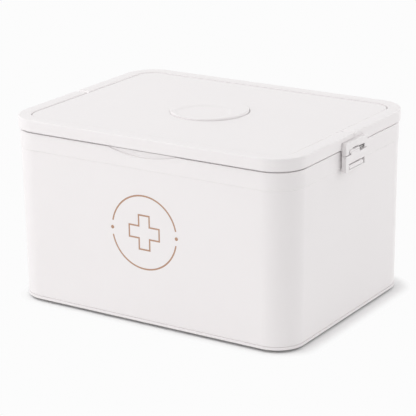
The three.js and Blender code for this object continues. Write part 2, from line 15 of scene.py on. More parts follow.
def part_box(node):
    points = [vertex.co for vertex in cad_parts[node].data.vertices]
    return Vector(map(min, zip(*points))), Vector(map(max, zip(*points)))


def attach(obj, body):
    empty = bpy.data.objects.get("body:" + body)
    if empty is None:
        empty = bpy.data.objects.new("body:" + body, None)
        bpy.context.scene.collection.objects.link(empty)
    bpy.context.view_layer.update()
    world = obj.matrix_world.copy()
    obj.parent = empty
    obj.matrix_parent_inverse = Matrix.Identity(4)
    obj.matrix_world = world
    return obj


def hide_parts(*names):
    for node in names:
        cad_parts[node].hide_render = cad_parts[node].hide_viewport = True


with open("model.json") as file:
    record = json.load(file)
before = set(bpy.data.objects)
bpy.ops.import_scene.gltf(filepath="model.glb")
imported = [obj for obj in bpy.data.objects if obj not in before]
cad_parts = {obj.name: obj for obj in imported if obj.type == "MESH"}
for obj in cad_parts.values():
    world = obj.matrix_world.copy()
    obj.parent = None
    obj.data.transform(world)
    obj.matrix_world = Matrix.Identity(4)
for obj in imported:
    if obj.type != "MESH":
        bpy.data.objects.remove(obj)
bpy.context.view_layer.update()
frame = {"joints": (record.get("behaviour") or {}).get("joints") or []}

bl_info = {
    "name": "Medicine Storage Box",
    "version": (1, 0, 0),
    "blender": (4, 5, 0),
    "location": "View3D > Sidebar > Storage Box",
    "description": "Models the pieces of a handled medicine storage box and its stage",
    "category": "Object",
}

MM = 0.001

# Places that the frame fixes
HANDLE_LOW, HANDLE_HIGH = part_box("handle")
LID_LOW, LID_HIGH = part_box("lid_frame")
PANEL_LOW, PANEL_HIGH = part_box("lid_panel")
WELL_LOW, WELL_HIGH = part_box("lid_well")
CAP_LOW, CAP_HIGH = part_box("well_cap")
SEAL_LOW, SEAL_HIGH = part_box("lid_seal")
TUB_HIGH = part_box("tub")[1]
TRAY_LOW, TRAY_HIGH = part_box("tray")
FLAP_LOW, FLAP_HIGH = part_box("latch_right")
JOINTS = {joint["name"]: joint for joint in frame["joints"]}
PIVOT = Vector(JOINTS["handle_swing"]["pos_m"])
HINGE = Vector(JOINTS["latch_right_swing"]["pos_m"])

HALF_LENGTH = HANDLE_HIGH.x
HALF_DEPTH = -HANDLE_LOW.y
RIM_BOTTOM = HANDLE_LOW.z
RIM_TOP = HANDLE_HIGH.z
TUB_TOP = TUB_HIGH.z
LATCH_FACE = LID_HIGH.x
LATCH_FRONT = FLAP_LOW.y
LATCH_REAR = FLAP_HIGH.y

# How finely curves are drawn
CORNER_STEPS = 20
ROUND_SIDES = 96
PIN_SIDES = 48
SCOOP_SIDES = 360
DISH_STEPS = 6

# How far a form runs into the one that it joins, and a rough volume past the piece that it shapes.
# A cutter runs one millimetre past what it cuts.
BITE = 0.4 * MM
PAST = 20 * MM

# Distance that counts as none, share of its length that an edge has along its axis, and the angles
# that count as flat, as smooth and as sharp
NEAR = 1e-6
ALIGNED = 0.999
FLAT_ANGLE = math.radians(0.2)
SMOOTH_ANGLE = math.radians(35)
SHARP_ANGLE = math.radians(40)

FORWARD = (0, -1, 0)
BACKWARD = (0, 1, 0)


def length(name, description, default):
    """A size, with its default in millimetres."""
    return bpy.props.FloatProperty(
        name=name, description=description, default=default * MM, min=0.0, precision=5, unit="LENGTH")


def tone(name, description, default):
    return bpy.props.FloatVectorProperty(
        name=name, description=description, default=default, min=0.0, max=1.0, size=3, subtype="COLOR")


def number(name, description, default, most=1.0):
    return bpy.props.FloatProperty(name=name, description=description, default=default, min=0.0, max=most)


class RimSizes(bpy.types.PropertyGroup):
    corner: length("Corner", "Radius of the rim's corners in plan", 32)
    band: length("Band", "Width of the rim seen from above", 13)
    wall: length("Wall", "Thickness of the rim's skirts", 2.2)
    top: length("Top", "Thickness of the rim's top", 2.4)
    rounding: length("Rounding", "Radius of the rim's outer top edge", 1.5)
    inner_drop: length("Inner drop", "Height of the easing on the rim's inner top edge", 0.8)
    inner_ease: length("Inner ease", "Width of the easing on the rim's inner top edge", 3)
    touch: length("Touch", "Gap between pieces that rest on each other", 0.3)
    play: length("Play", "Gap between pieces that slide past each other", 0.5)
    pin_play: length("Pin play", "Gap round a hinge pin", 0.1)
    edge: length("Edge", "Softening of moulded edges", 0.25)


class TubSizes(bpy.types.PropertyGroup):
    wall: length("Wall", "Thickness of the tub's wall", 2.4)
    collar_height: length("Collar height", "Height of the stepped collar under the seam", 17.5)
    collar_step: length("Collar step", "How far the collar stands out from the wall below", 0.6)
    draft: length("Draft", "How far the wall leans in from the collar to the base", 1.2)
    lip_height: length("Lip height", "Height of the lip round the base", 3)
    lip_proud: length("Lip proud", "How far the lip stands out from the wall", 0.2)
    lip_rounding: length("Lip rounding", "Radius under the lip", 0.8)
    groove: length("Groove", "Height of the groove above the lip", 0.8)
    groove_depth: length("Groove depth", "Depth of the groove above the lip", 0.6)
    foot_height: length("Foot height", "Height of the recessed foot ring", 2.6)
    foot_inset: length("Foot inset", "How far the foot ring stands back from the wall", 9)
    foot_width: length("Foot width", "Width of the foot ring", 6)
    floor: length("Floor", "Thickness of the floor", 2.4)
    fillet: length("Fillet", "Radius between the floor and the walls inside", 6)
    mouth: length("Mouth", "Radius of the outer edge of the tub's mouth", 0.6)
    rib_depth: length("Rib depth", "How far the ribs that carry the tray stand in", 3.4)
    rib_width: length("Rib width", "Thickness of those ribs", 2.4)
    rib_along: length("Rib along", "Distance of the long sides' ribs from the middle", 75)
    rib_across: length("Rib across", "Distance of the short sides' ribs from the middle", 58)
    scoop_width: length("Scoop width", "Width of the finger scoop at the seam", 82)
    scoop_drop: length("Scoop drop", "Height of the finger scoop in the middle", 6.5)
    scoop_depth: length("Scoop depth", "Depth of the finger scoop", 1.2)
    scoop_slope: length("Scoop slope", "Width of the scoop's sloping lower edge", 1.2)


class LidSizes(bpy.types.PropertyGroup):
    shelf: length("Shelf", "Thickness of the shelf under the handle", 1.1)
    shelf_play: length("Shelf play", "How far the shelf's edge lies inside the rim's skirt", 0.8)
    gap: length("Gap", "Gap between the rim and the panel", 0.5)
    channel_wall: length("Channel wall", "Thickness of the wall that carries the panel", 2)
    plug_wall: length("Plug wall", "Thickness of the wall that enters the tub", 3)
    plug_play: length("Plug play", "Gap between the plug wall and the collar", 0.7)
    plug_height: length("Plug height", "Depth that the plug wall enters the tub", 8)
    groove_depth: length("Groove depth", "Depth of the seal's groove", 1.4)
    groove_height: length("Groove height", "Height of the seal's groove", 2.4)
    groove_drop: length("Groove drop", "Distance of the groove below the seat", 1.9)
    panel: length("Panel", "Thickness of the lid's panel", 2)
    panel_rounding: length("Panel rounding", "Radius of the panel's top edge", 1.6)
    aside: length("Aside", "How far the panel's outline lies to the left of the middle", 0.2)
    rear_fit: length("Rear fit", "How much closer the panel lies to the fixed rear rim", 0.45)
    rib: length("Rib", "Thickness of the ribs under the panel", 1.6)
    rib_pitch: length("Rib pitch", "Distance between the ribs under the panel", 52)
    boss_depth: length("Boss depth", "Length of the pivot pins' bosses", 7)
    boss_half: length("Boss half width", "Half the width of the pivot pins' bosses", 6)
    seal_lip: length("Seal lip", "How far the seal's two lips stand out", 0.35)
    pin_radius: length("Pin radius", "Radius of the handle's pivot pins", 1.6)
    pin_reach: length("Pin reach", "How far the pivot pins enter the handle", 10)


class WellSizes(bpy.types.PropertyGroup):
    radius: length("Radius", "Inner radius of the round well", 34.7)
    wall: length("Wall", "Thickness of the well's wall", 1.8)
    floor: length("Floor", "Thickness of the well's floor", 2)
    rounding: length("Rounding", "Radius under the well", 1.8)
    fillet: length("Fillet", "Radius between the well's floor and its wall inside", 1)
    flange: length("Flange", "Thickness of the well's flange", 1.4)
    ledge: length("Ledge", "Thickness of the ledge that carries the flange", 1.6)
    collar: length("Collar", "Thickness of the panel's collar round the well", 1.8)
    seat_play: length("Seat play", "Gap round the cap in its seat", 0.4)
    cap: length("Cap", "Thickness of the cap", 2.7)
    cap_aside: length("Cap aside", "How far the cap lies to the left in its seat", 0.25)
    cap_forward: length("Cap forward", "How far the cap lies to the front in its seat", 0.16)
    cap_rounding: length("Cap rounding", "Radius of the cap's top edge", 1.8)
    plug_wall: length("Plug wall", "Thickness of the cap's plug ring", 1.6)
    dish_radius: length("Dish radius", "Radius of the thumb dish in the cap", 29)
    dish_offset: length("Dish offset", "How far the dish is set towards the front", 13.6)
    dish_depth: length("Dish depth", "Depth of the thumb dish", 1.2)
    dish_slope: length("Dish slope", "Width of the dish's sloping edge", 5.5)


class HandleSizes(bpy.types.PropertyGroup):
    barrel: length("Barrel", "Radius of the handle's turning ends", 5.3)
    barrel_gap: length("Barrel gap", "Gap between a turning end and the rear rim", 0.4)
    parting: length("Parting", "Chamfer where the rear rim meets the handle", 1.6)
    arm: length("Arm", "Length of the solid arms in front of the pivots", 24)
    rib: length("Rib", "Thickness of the ribs in the grip", 1.6)
    rib_pitch: length("Rib pitch", "Distance between the ribs in the grip", 40)


class LatchSizes(bpy.types.PropertyGroup):
    top_drop: length("Top drop", "Distance of the latch's top below the rim's top", 5.7)
    rounding: length("Rounding", "Radius of the latch's corners", 2)
    edge: length("Edge", "Softening of the latch's outer edges", 0.7)
    cheek: length("Cheek", "Width of the bracket's hinge cheeks", 6.2)
    cheek_drop: length("Cheek drop", "How far the cheeks' faces reach below the pin's middle", 1.3)
    knuckle: length("Knuckle", "Radius of the flap's knuckle", 2.3)
    knuckle_length: length("Knuckle length", "Length of the flap's knuckle", 19)
    knuckle_rounding: length("Knuckle rounding", "Radius of the knuckle's front end", 1.7)
    neck_front: length("Neck front", "How far the knuckle's neck starts behind its front end", 1.6)
    knuckle_slim: length("Knuckle slim", "How much slimmer the knuckle is than the cheeks' tips", 0.5)
    knuckle_top: length("Knuckle top", "Gap above the knuckle", 1.5)
    knuckle_front: length("Knuckle front", "Gap in front of the knuckle", 2.2)
    thickness: length("Thickness", "Thickness of the flap's face", 2.4)
    side_wall: length("Side wall", "Thickness of the flap's side walls", 2)
    bar: length("Bar", "Height of the bar that hooks under the catch", 2)
    depth: length("Depth", "Depth of the flap's side walls", 4.5)
    window: length("Window", "Height of the catch's window", 5.8)
    catch: length("Catch", "Height of the catch", 3.6)
    catch_face: length("Catch face", "Height of the catch's upright face", 2.2)
    catch_lift: length("Catch lift", "Gap between the catch and the bar under it", 0.15)
    catch_tip: length("Catch tip", "Distance of the catch's tip behind the latch's face", 0.2)
    catch_setback: length("Catch setback", "How far the catch slopes back to its top", 1.2)
    catch_front: length("Catch front", "Gap in front of the catch in its window", 1.6)
    catch_rear: length("Catch rear", "Gap behind the catch in its window", 1.8)
    pin_radius: length("Pin radius", "Radius of the latch's pin", 1.2)
    pin_recess: length("Pin recess", "How far the pin's ends lie inside the cheeks", 0.6)


class TraySizes(bpy.types.PropertyGroup):
    flange: length("Flange", "Thickness of the tray's flange", 2)
    wall: length("Wall", "Thickness of the tray's wall", 1.6)
    draft: length("Draft", "How far the tray's wall leans in", 1)
    floor: length("Floor", "Thickness of the tray's floor", 1.8)
    fillet: length("Fillet", "Radius under the tray's edge", 4)
    partition: length("Partition", "Thickness of the middle wall", 2.4)
    partition_edge: length("Partition edge", "Radius of the middle wall's edges", 0.5)
    slot_length: length("Slot length", "Length of the hand slot", 80)
    slot_height: length("Slot height", "Height of the hand slot", 22)
    slot_drop: length("Slot drop", "Distance of the hand slot below the tray's top", 8)
    guide: length("Guide", "Thickness of the ribs that hold a divider", 1.2)
    guide_depth: length("Guide depth", "How far those ribs stand out", 2)
    divider_play: length("Divider play", "Gap between a divider and its ribs", 0.3)
    divider_corner: length("Divider corner", "Radius of a divider's top corners", 5)
    divider_edge: length("Divider edge", "Radius of a divider's edges", 0.3)
    station: length("Station", "Distance between the dividers' places", 50)


class PrintSizes(bpy.types.PropertyGroup):
    height: length("Height", "Height of the print's middle above the table", 94)
    radius: length("Radius", "Radius of the two printed arcs", 36.4)
    line: length("Line", "Width of a printed line", 1.6)
    gap: length("Gap", "Half the height of the gaps between the arcs", 7)
    dot: length("Dot", "Radius of the dots in the gaps", 1.8)
    arm: length("Arm", "Half the length of the printed plus sign", 17)
    arm_half: length("Arm half width", "Half the width of the plus sign's arms", 6)
    reach: length("Reach", "Depth of the print from halfway between the rim's and collar's faces", 3.2)


class Finishes(bpy.types.PropertyGroup):
    shell: tone("Shell", "White of the tub, the lid and the handle", (0.872, 0.842, 0.845))
    shell_shade: tone("Shell shade", "Slightly darker patches of that white", (0.86, 0.829, 0.831))
    tray: tone("Tray", "White of the tray and its dividers", (0.85, 0.836, 0.815))
    tray_shade: tone("Tray shade", "Slightly darker patches of that white", (0.832, 0.816, 0.795))
    seal: tone("Seal", "Pale grey of the seal", (0.62, 0.61, 0.58))
    seal_shade: tone("Seal shade", "Slightly darker patches of that grey", (0.56, 0.55, 0.52))
    ink: tone("Ink", "Copper tan of the print", (0.45, 0.26, 0.17))
    steel: tone("Steel", "Grey of the pins", (0.42, 0.41, 0.41))
    steel_shade: tone("Steel shade", "Slightly darker streaks of that grey", (0.36, 0.35, 0.35))


class Studio(bpy.types.PropertyGroup):
    azimuth: bpy.props.FloatProperty(
        name="Azimuth", description="Camera's turn from the front towards the right",
        default=math.radians(32.75), subtype="ANGLE")
    elevation: bpy.props.FloatProperty(
        name="Elevation", description="Camera's height above the horizon",
        default=math.radians(17.8), subtype="ANGLE")
    roll: bpy.props.FloatProperty(
        name="Roll", description="Camera's turn about its line of sight",
        default=math.radians(-0.68), subtype="ANGLE")
    distance: length("Distance", "Distance of the camera from its aim", 1805.3)
    aside: length("Aside", "How far the aim lies to the left of the box's middle", 3.05)
    aim_height: length("Aim height", "Height of the camera's aim", 86.16)
    lens: number("Lens", "Focal length on a 36 mm sensor, in millimetres", 156.9, 1000.0)
    floor: tone("Floor", "White of the floor", (0.96, 0.96, 0.96))
    # Painted shadow: a grey painted on the floor under the box, which fades out at the base's outline
    painted_shadow: tone("Shade", "Grey of the floor under the box", (0.7, 0.7, 0.7))
    painted_shadow_edge: length("Shade edge", "Width over which that grey fades out at the base's outline", 3)
    floor_reach: length("Floor reach", "Distance from the base where the floor has the backdrop's white", 14)
    floor_lean: length("Floor lean", "How far that distance leans to the right and the back", 3)
    backdrop: tone("Backdrop", "White behind the floor", (0.973, 0.973, 0.973))
    sky: number("Sky", "Strength of the even light from all round", 0.575, 5.0)
    key: number("Key", "Power of the light high at the front left, in watts", 12.0, 500.0)
    front: number("Front", "Power of the large light in front, in watts", 11.9, 500.0)
    side: number("Side", "Power of the light at the left, in watts", 3.0, 500.0)
    fill: number("Fill", "Power of the large light at the right, in watts", 12.0, 500.0)
    back: number("Back", "Power of the light high behind, in watts", 6.0, 500.0)


GROUPS = {
    "rim": RimSizes,
    "tub": TubSizes,
    "lid": LidSizes,
    "well": WellSizes,
    "handle": HandleSizes,
    "latch": LatchSizes,
    "tray": TraySizes,
    "print": PrintSizes,
    "finish": Finishes,
    "studio": Studio,
}


def settings(group):
    """The scene's property group of that name."""
    return getattr(bpy.context.scene, "storage_box_" + group)


# Selecting and editing

def clear_selection():
    if bpy.context.mode != "OBJECT":
        bpy.ops.object.mode_set(mode="OBJECT")
    bpy.ops.object.select_all(action="DESELECT")


def make_active(piece):
    clear_selection()
    piece.select_set(True)
    bpy.context.view_layer.objects.active = piece


def start_edit(piece, kind="VERT"):
    """Enter edit mode on a piece with nothing selected."""
    make_active(piece)
    bpy.ops.object.mode_set(mode="EDIT")
    bpy.ops.mesh.select_mode(type=kind)
    bpy.ops.mesh.select_all(action="DESELECT")


def end_edit():
    bpy.ops.object.mode_set(mode="OBJECT")


def pick_vertices(test):
    """Select the vertices whose place passes the test."""
    mesh = bpy.context.edit_object.data
    shape = bmesh.from_edit_mesh(mesh)
    for vertex in shape.verts:
        vertex.select = test(vertex.co)
    shape.select_flush_mode()
    bmesh.update_edit_mesh(mesh)


def pick_edges(test):
    """Select the edges whose two ends pass the test together."""
    mesh = bpy.context.edit_object.data
    shape = bmesh.from_edit_mesh(mesh)
    for edge in shape.edges:
        edge.select = test(edge.verts[0].co, edge.verts[1].co)
    shape.select_flush_mode()
    bmesh.update_edit_mesh(mesh)


def same(a, b):
    """Whether two values along an axis are one place, with some room for rounding."""
    return abs(a - b) < 10 * NEAR


def on(axis, value):
    """Test for edges that lie in the plane where that axis has that value."""
    index = "XYZ".index(axis)
    return lambda a, b: same(a[index], value) and same(b[index], value)


def along(axis, where=lambda middle: True):
    """Test for edges that run along an axis, with their middle where asked."""
    index = "XYZ".index(axis)

    def test(a, b):
        step = b - a
        return abs(step[index]) > ALIGNED * step.length and where((a + b) / 2)
    return test


# Primitives, each with its place in its mesh

def settle(piece, name):
    """Put a new primitive's place, turn and size into its mesh."""
    piece.name = name
    piece.data.name = name
    make_active(piece)
    bpy.ops.object.transform_apply(location=True, rotation=True, scale=True)
    return piece


def block(name, x, y, z):
    """Box between two values along each axis."""
    clear_selection()
    low = Vector((min(x), min(y), min(z)))
    high = Vector((max(x), max(y), max(z)))
    bpy.ops.mesh.primitive_cube_add(size=1, location=(low + high) / 2, scale=high - low)
    return settle(bpy.context.object, name)


def rod(name, radius, axis, ends, centre, sides=PIN_SIDES):
    """Round rod along an axis between two values, through a point."""
    clear_selection()
    turn = {"X": (0, math.pi / 2, 0), "Y": (math.pi / 2, 0, 0), "Z": (0, 0, 0)}[axis]
    place = Vector(centre)
    place["XYZ".index(axis)] = sum(ends) / 2
    bpy.ops.mesh.primitive_cylinder_add(
        vertices=sides, radius=radius, depth=abs(ends[1] - ends[0]), location=place, rotation=turn)
    return settle(bpy.context.object, name)


def shift(piece, step):
    """Move the whole mesh of a piece."""
    start_edit(piece)
    bpy.ops.mesh.select_all(action="SELECT")
    bpy.ops.transform.translate(value=step)
    end_edit()


def copy_of(piece, name, step=None):
    """Copy of a piece with a mesh of its own, moved by a step."""
    make_active(piece)
    bpy.ops.object.duplicate()
    made = bpy.context.object
    made.name = name
    made.data.name = name
    if step is not None:
        shift(made, step)
    return made


def mirrored(piece, name, axis="X"):
    """Copy of a piece on the other side of the box's middle."""
    made = copy_of(piece, name)
    start_edit(made)
    bpy.ops.mesh.select_all(action="SELECT")
    factors = [-1 if letter == axis else 1 for letter in "XYZ"]
    bpy.ops.transform.resize(value=factors, center_override=(0, 0, 0))
    bpy.ops.mesh.normals_make_consistent(inside=False)
    end_edit()
    return made


# Modifiers that are applied at once

def apply_modifier(piece, kind, **values):
    make_active(piece)
    bpy.ops.object.modifier_add(type=kind)
    modifier = piece.modifiers[-1]
    for name, value in values.items():
        setattr(modifier, name, value)
    bpy.ops.object.modifier_apply(modifier=modifier.name)


def combine(piece, tool, operation):
    apply_modifier(piece, "BOOLEAN", operation=operation, object=tool, solver="MANIFOLD")
    if not piece.data.polygons:
        raise RuntimeError(f"{piece.name} lost its faces when {tool.name} met it")
    bpy.data.objects.remove(tool)
    return piece


def cut(piece, *tools):
    for tool in tools:
        combine(piece, tool, "DIFFERENCE")
    return piece


def fuse(piece, *others):
    for other in others:
        combine(piece, other, "UNION")
    return piece


def keep_common(piece, other):
    return combine(piece, other, "INTERSECT")


def merge_flat(piece):
    """Merge doubled points and faces that lie in one plane."""
    start_edit(piece)
    bpy.ops.mesh.select_all(action="SELECT")
    bpy.ops.mesh.remove_doubles(threshold=NEAR)
    bpy.ops.mesh.dissolve_limited(angle_limit=FLAT_ANGLE)
    end_edit()


def soften(piece, width=None, steps=2):
    """Round every sharp edge."""
    merge_flat(piece)
    apply_modifier(piece, "BEVEL", width=width or settings("rim").edge, segments=steps,
                   limit_method="ANGLE", angle_limit=SHARP_ANGLE, use_clamp_overlap=True)


def round_edges(piece, test, radius, steps):
    """Round the edges that pass the test."""
    start_edit(piece, "EDGE")
    pick_edges(test)
    bpy.ops.mesh.bevel(offset=radius, segments=steps, affect="EDGES")
    end_edit()


def trim(piece, place, normal):
    """Cut a piece by a plane, drop what the normal points at and close the cut."""
    start_edit(piece)
    bpy.ops.mesh.select_all(action="SELECT")
    bpy.ops.mesh.bisect(plane_co=place, plane_no=normal, use_fill=True, clear_outer=True)
    end_edit()
    return piece


def smooth(piece):
    """Shade a finished piece smooth, with its flat faces kept flat."""
    make_active(piece)
    bpy.ops.object.shade_smooth_by_angle(angle=SMOOTH_ANGLE, keep_sharp_edges=False)
    apply_modifier(piece, "WEIGHTED_NORMAL", keep_sharp=True)


# Forms that run round the box, and round forms

class RimRun:
    """Loop in the rim's plan outline, moved inward by an inset and extruded along a section."""

    def __init__(self, name, section):
        (self.inset, self.height), *rest = section
        self.corner = settings("rim").corner
        clear_selection()
        bpy.ops.mesh.primitive_plane_add(size=1)
        self.piece = settle(bpy.context.object, name)
        bpy.ops.object.mode_set(mode="EDIT")
        bpy.ops.mesh.select_mode(type="VERT")
        bpy.ops.mesh.select_all(action="SELECT")
        bpy.ops.transform.resize(value=(2 * (HALF_LENGTH - self.inset), 2 * (HALF_DEPTH - self.inset), 1))
        bpy.ops.transform.translate(value=(0, 0, self.height))
        bpy.ops.mesh.bevel(offset=self.corner - self.inset, segments=CORNER_STEPS, affect="VERTICES")
        bpy.ops.mesh.delete(type="ONLY_FACE")
        bpy.ops.mesh.select_all(action="SELECT")
        for point in rest:
            self.carry(*point)

    def carry(self, inset, height):
        """Extrude the selected loop to the next point of the section."""
        bpy.ops.mesh.extrude_region_move(TRANSFORM_OT_translate={"value": (0, 0, height - self.height)})
        if abs(inset - self.inset) > NEAR:
            self.move_corners((self.corner - inset) / (self.corner - self.inset))
        self.inset, self.height = inset, height

    def move_corners(self, factor):
        """Scale each corner's share of the loop about that corner's centre."""
        mesh = bpy.context.edit_object.data
        shape = bmesh.from_edit_mesh(mesh)
        loop = [vertex.index for vertex in shape.verts if vertex.select]
        reach = Vector((HALF_LENGTH - self.corner, HALF_DEPTH - self.corner, 0))
        for side_x in (-1, 1):
            for side_y in (-1, 1):
                self.choose(loop, lambda place: place.x * side_x > 0 and place.y * side_y > 0)
                centre = (side_x * reach.x, side_y * reach.y, 0)
                bpy.ops.transform.resize(value=(factor, factor, 1), center_override=centre)
        self.choose(loop, lambda place: True)

    @staticmethod
    def choose(loop, test):
        """Select the loop's vertices whose place passes the test, and nothing else."""
        mesh = bpy.context.edit_object.data
        shape = bmesh.from_edit_mesh(mesh)
        shape.verts.ensure_lookup_table()
        for index in loop:
            shape.verts[index].select = test(shape.verts[index].co)
        shape.select_flush_mode()
        bmesh.update_edit_mesh(mesh)

    def close(self):
        """Merge where the run meets itself, fill what is open and turn the faces outward."""
        close_up()
        return self.piece


def close_up():
    bpy.ops.mesh.select_all(action="SELECT")
    bpy.ops.mesh.remove_doubles(threshold=NEAR)
    bpy.ops.mesh.fill_holes(sides=0)
    bpy.ops.mesh.normals_make_consistent(inside=False)
    end_edit()


def shell_form(name, section):
    """Solid whose wall follows a section of (inset, height) points, closed by its two end loops."""
    return RimRun(name, section).close()


def ring_form(name, section):
    """Ring round the box with a closed section."""
    return RimRun(name, [*section, section[0]]).close()


def band(name, outer, inner, bottom, top):
    """Upright ring round the box between two insets."""
    return ring_form(name, [(outer, bottom), (outer, top), (inner, top), (inner, bottom)])


def round_form(name, profile, sides=ROUND_SIDES):
    """Round solid about the upright axis from a profile of (radius, height) points."""
    clear_selection()
    bpy.ops.mesh.primitive_circle_add(vertices=sides, radius=profile[0][0])
    piece = settle(bpy.context.object, name)
    bpy.ops.object.mode_set(mode="EDIT")
    bpy.ops.mesh.select_mode(type="VERT")
    bpy.ops.mesh.select_all(action="SELECT")
    bpy.ops.transform.translate(value=(0, 0, profile[0][1]))
    for (old_radius, old_height), (radius, height) in zip(profile, profile[1:]):
        bpy.ops.mesh.extrude_region_move(TRANSFORM_OT_translate={"value": (0, 0, height - old_height)})
        factor = radius / old_radius
        bpy.ops.transform.resize(value=(factor, factor, 1), center_override=(0, 0, 0))
    close_up()
    return piece


def quarter(centre, radius, start, end, steps=5):
    """Points of an arc in a section, between two angles in degrees counted from the inward side."""
    angles = [math.radians(start + (end - start) * step / steps) for step in range(steps + 1)]
    return [(centre[0] + radius * math.cos(a), centre[1] + radius * math.sin(a)) for a in angles]


def round_top(inset, top, radius):
    """Quarter round from an outer wall into a flat top."""
    return quarter((inset + radius, top - radius), radius, 180, 90)


def round_inner_top(inset, top, radius):
    """Quarter round from a flat top into an inner wall."""
    return quarter((inset - radius, top - radius), radius, 90, 0, steps=3)


def ease_inner_top(inset, top, across, drop):
    """Flattened quarter round from a flat top into an inner wall."""
    return [(inset - across * (1 - share), top - drop * (1 - height))
            for share, height in quarter((0, 0), 1, 90, 0)]


def round_foot(inset, bottom, radius):
    """Quarter round from a flat underside into an outer wall."""
    return quarter((inset + radius, bottom + radius), radius, 270, 180)


# Finishes, each with the two values that its roughness lies between

SHELL_ROUGHNESS = (0.3, 0.36)
TRAY_ROUGHNESS = (0.3, 0.38)
SEAL_ROUGHNESS = (0.62, 0.74)
STEEL_ROUGHNESS = (0.26, 0.38)


class Finish:
    """Material that is wired up from nodes in the piece's own coordinates."""

    def __init__(self, name):
        self.material = bpy.data.materials.new(name)
        self.material.use_nodes = True
        self.tree = self.material.node_tree
        self.shader = self.tree.nodes["Principled BSDF"]
        self.places = self.add("ShaderNodeTexCoord").outputs["Object"]

    def add(self, kind, **values):
        node = self.tree.nodes.new(kind)
        for name, value in values.items():
            setattr(node, name, value)
        return node

    def link(self, source, target):
        self.tree.links.new(source, target)

    def noise(self, scale, detail=2.0, roughness=0.5):
        """Noise with its scale in features for each metre."""
        node = self.add("ShaderNodeTexNoise")
        node.inputs["Scale"].default_value = scale
        node.inputs["Detail"].default_value = detail
        node.inputs["Roughness"].default_value = roughness
        self.link(self.places, node.inputs["Vector"])
        return node.outputs["Fac"]

    def math(self, operation, first, second=None):
        """Result of a sum whose terms are sockets or plain numbers."""
        node = self.add("ShaderNodeMath", operation=operation)
        for socket, term in zip(node.inputs, (first, second)):
            if isinstance(term, (int, float)):
                socket.default_value = term
            elif term is not None:
                self.link(term, socket)
        return node.outputs["Value"]

    def mix(self, factor, first, second):
        """Colour between two colours, each a socket or three numbers."""
        node = self.add("ShaderNodeMix", data_type="RGBA")
        self.link(factor, node.inputs["Factor"])
        colours = [socket for socket in node.inputs if socket.type == "RGBA"]
        for socket, colour in zip(colours, (first, second)):
            if isinstance(colour, bpy.types.NodeSocket):
                self.link(colour, socket)
            else:
                socket.default_value = (*colour, 1)
        return next(socket for socket in node.outputs if socket.type == "RGBA")

    def vary_roughness(self, low, high, scale):
        spread = self.add("ShaderNodeMapRange")
        spread.inputs["To Min"].default_value = low
        spread.inputs["To Max"].default_value = high
        self.link(self.noise(scale, detail=3.0), spread.inputs["Value"])
        self.link(spread.outputs["Result"], self.shader.inputs["Roughness"])

    def grain(self, scale, strength, depth):
        """Fine surface grain as bump."""
        bump = self.add("ShaderNodeBump")
        bump.inputs["Strength"].default_value = strength
        bump.inputs["Distance"].default_value = depth
        self.link(self.noise(scale, detail=3.0, roughness=0.6), bump.inputs["Height"])
        self.link(bump.outputs["Normal"], self.shader.inputs["Normal"])

    def colour(self, socket):
        self.link(socket, self.shader.inputs["Base Color"])


def moulded(name, light, dark, roughness):
    """Satin injection-moulded plastic: faint flow patches and a very fine spark-eroded grain."""
    finish = Finish(name)
    finish.colour(finish.mix(finish.noise(scale=14), light, dark))
    finish.vary_roughness(*roughness, scale=45)
    finish.grain(scale=1400, strength=0.12, depth=0.03 * MM)
    finish.shader.inputs["Specular IOR Level"].default_value = 0.5
    return finish


def shell_white():
    tones = settings("finish")
    return moulded("shell_white", tones.shell, tones.shell_shade, SHELL_ROUGHNESS).material


def printed_white():
    """The shell's white with a copper-tan print on the front: two arcs, two dots and a plus sign."""
    tones = settings("finish")
    sizes = settings("print")
    finish = moulded("printed_white", tones.shell, tones.shell_shade, SHELL_ROUGHNESS)
    plain = finish.shader.inputs["Base Color"].links[0].from_socket
    parts = finish.add("ShaderNodeSeparateXYZ")
    finish.link(finish.places, parts.inputs["Vector"])
    across = finish.math("ABSOLUTE", parts.outputs["X"])
    upward = finish.math("ABSOLUTE", finish.math("SUBTRACT", parts.outputs["Z"], sizes.height))

    def near_line(distance):
        return finish.math("LESS_THAN", finish.math("ABSOLUTE", distance), sizes.line / 2)

    def distance_from(x):
        squares = [finish.math("MULTIPLY", term, term)
                   for term in (finish.math("SUBTRACT", across, x), upward)]
        return finish.math("SQRT", finish.math("ADD", *squares))

    def bar_distance(half_across, half_up):
        return finish.math("MAXIMUM", finish.math("SUBTRACT", across, half_across),
                           finish.math("SUBTRACT", upward, half_up))

    arcs = finish.math("MULTIPLY",
                       near_line(finish.math("SUBTRACT", distance_from(0.0), sizes.radius)),
                       finish.math("GREATER_THAN", upward, sizes.gap))
    dots = finish.math("LESS_THAN", distance_from(sizes.radius), sizes.dot)
    plus = near_line(finish.math("MINIMUM", bar_distance(sizes.arm, sizes.arm_half),
                                 bar_distance(sizes.arm_half, sizes.arm)))
    inked = finish.math("MAXIMUM", arcs, finish.math("MAXIMUM", dots, plus))
    deepest = -HALF_DEPTH + collar_inset() / 2 + sizes.reach
    inked = finish.math("MULTIPLY", inked, finish.math("LESS_THAN", parts.outputs["Y"], deepest))
    finish.colour(finish.mix(inked, plain, tones.ink))
    return finish.material


def tray_white():
    tones = settings("finish")
    return moulded("tray_white", tones.tray, tones.tray_shade, TRAY_ROUGHNESS).material


def soft_rubber():
    tones = settings("finish")
    finish = Finish("soft_rubber")
    finish.colour(finish.mix(finish.noise(scale=60), tones.seal, tones.seal_shade))
    finish.vary_roughness(*SEAL_ROUGHNESS, scale=200)
    finish.grain(scale=2600, strength=0.2, depth=0.04 * MM)
    return finish.material


def drawn_steel():
    tones = settings("finish")
    finish = Finish("drawn_steel")
    finish.shader.inputs["Metallic"].default_value = 1.0
    finish.colour(finish.mix(finish.noise(scale=300), tones.steel, tones.steel_shade))
    finish.vary_roughness(*STEEL_ROUGHNESS, scale=900)
    finish.grain(scale=4000, strength=0.15, depth=0.02 * MM)
    return finish.material


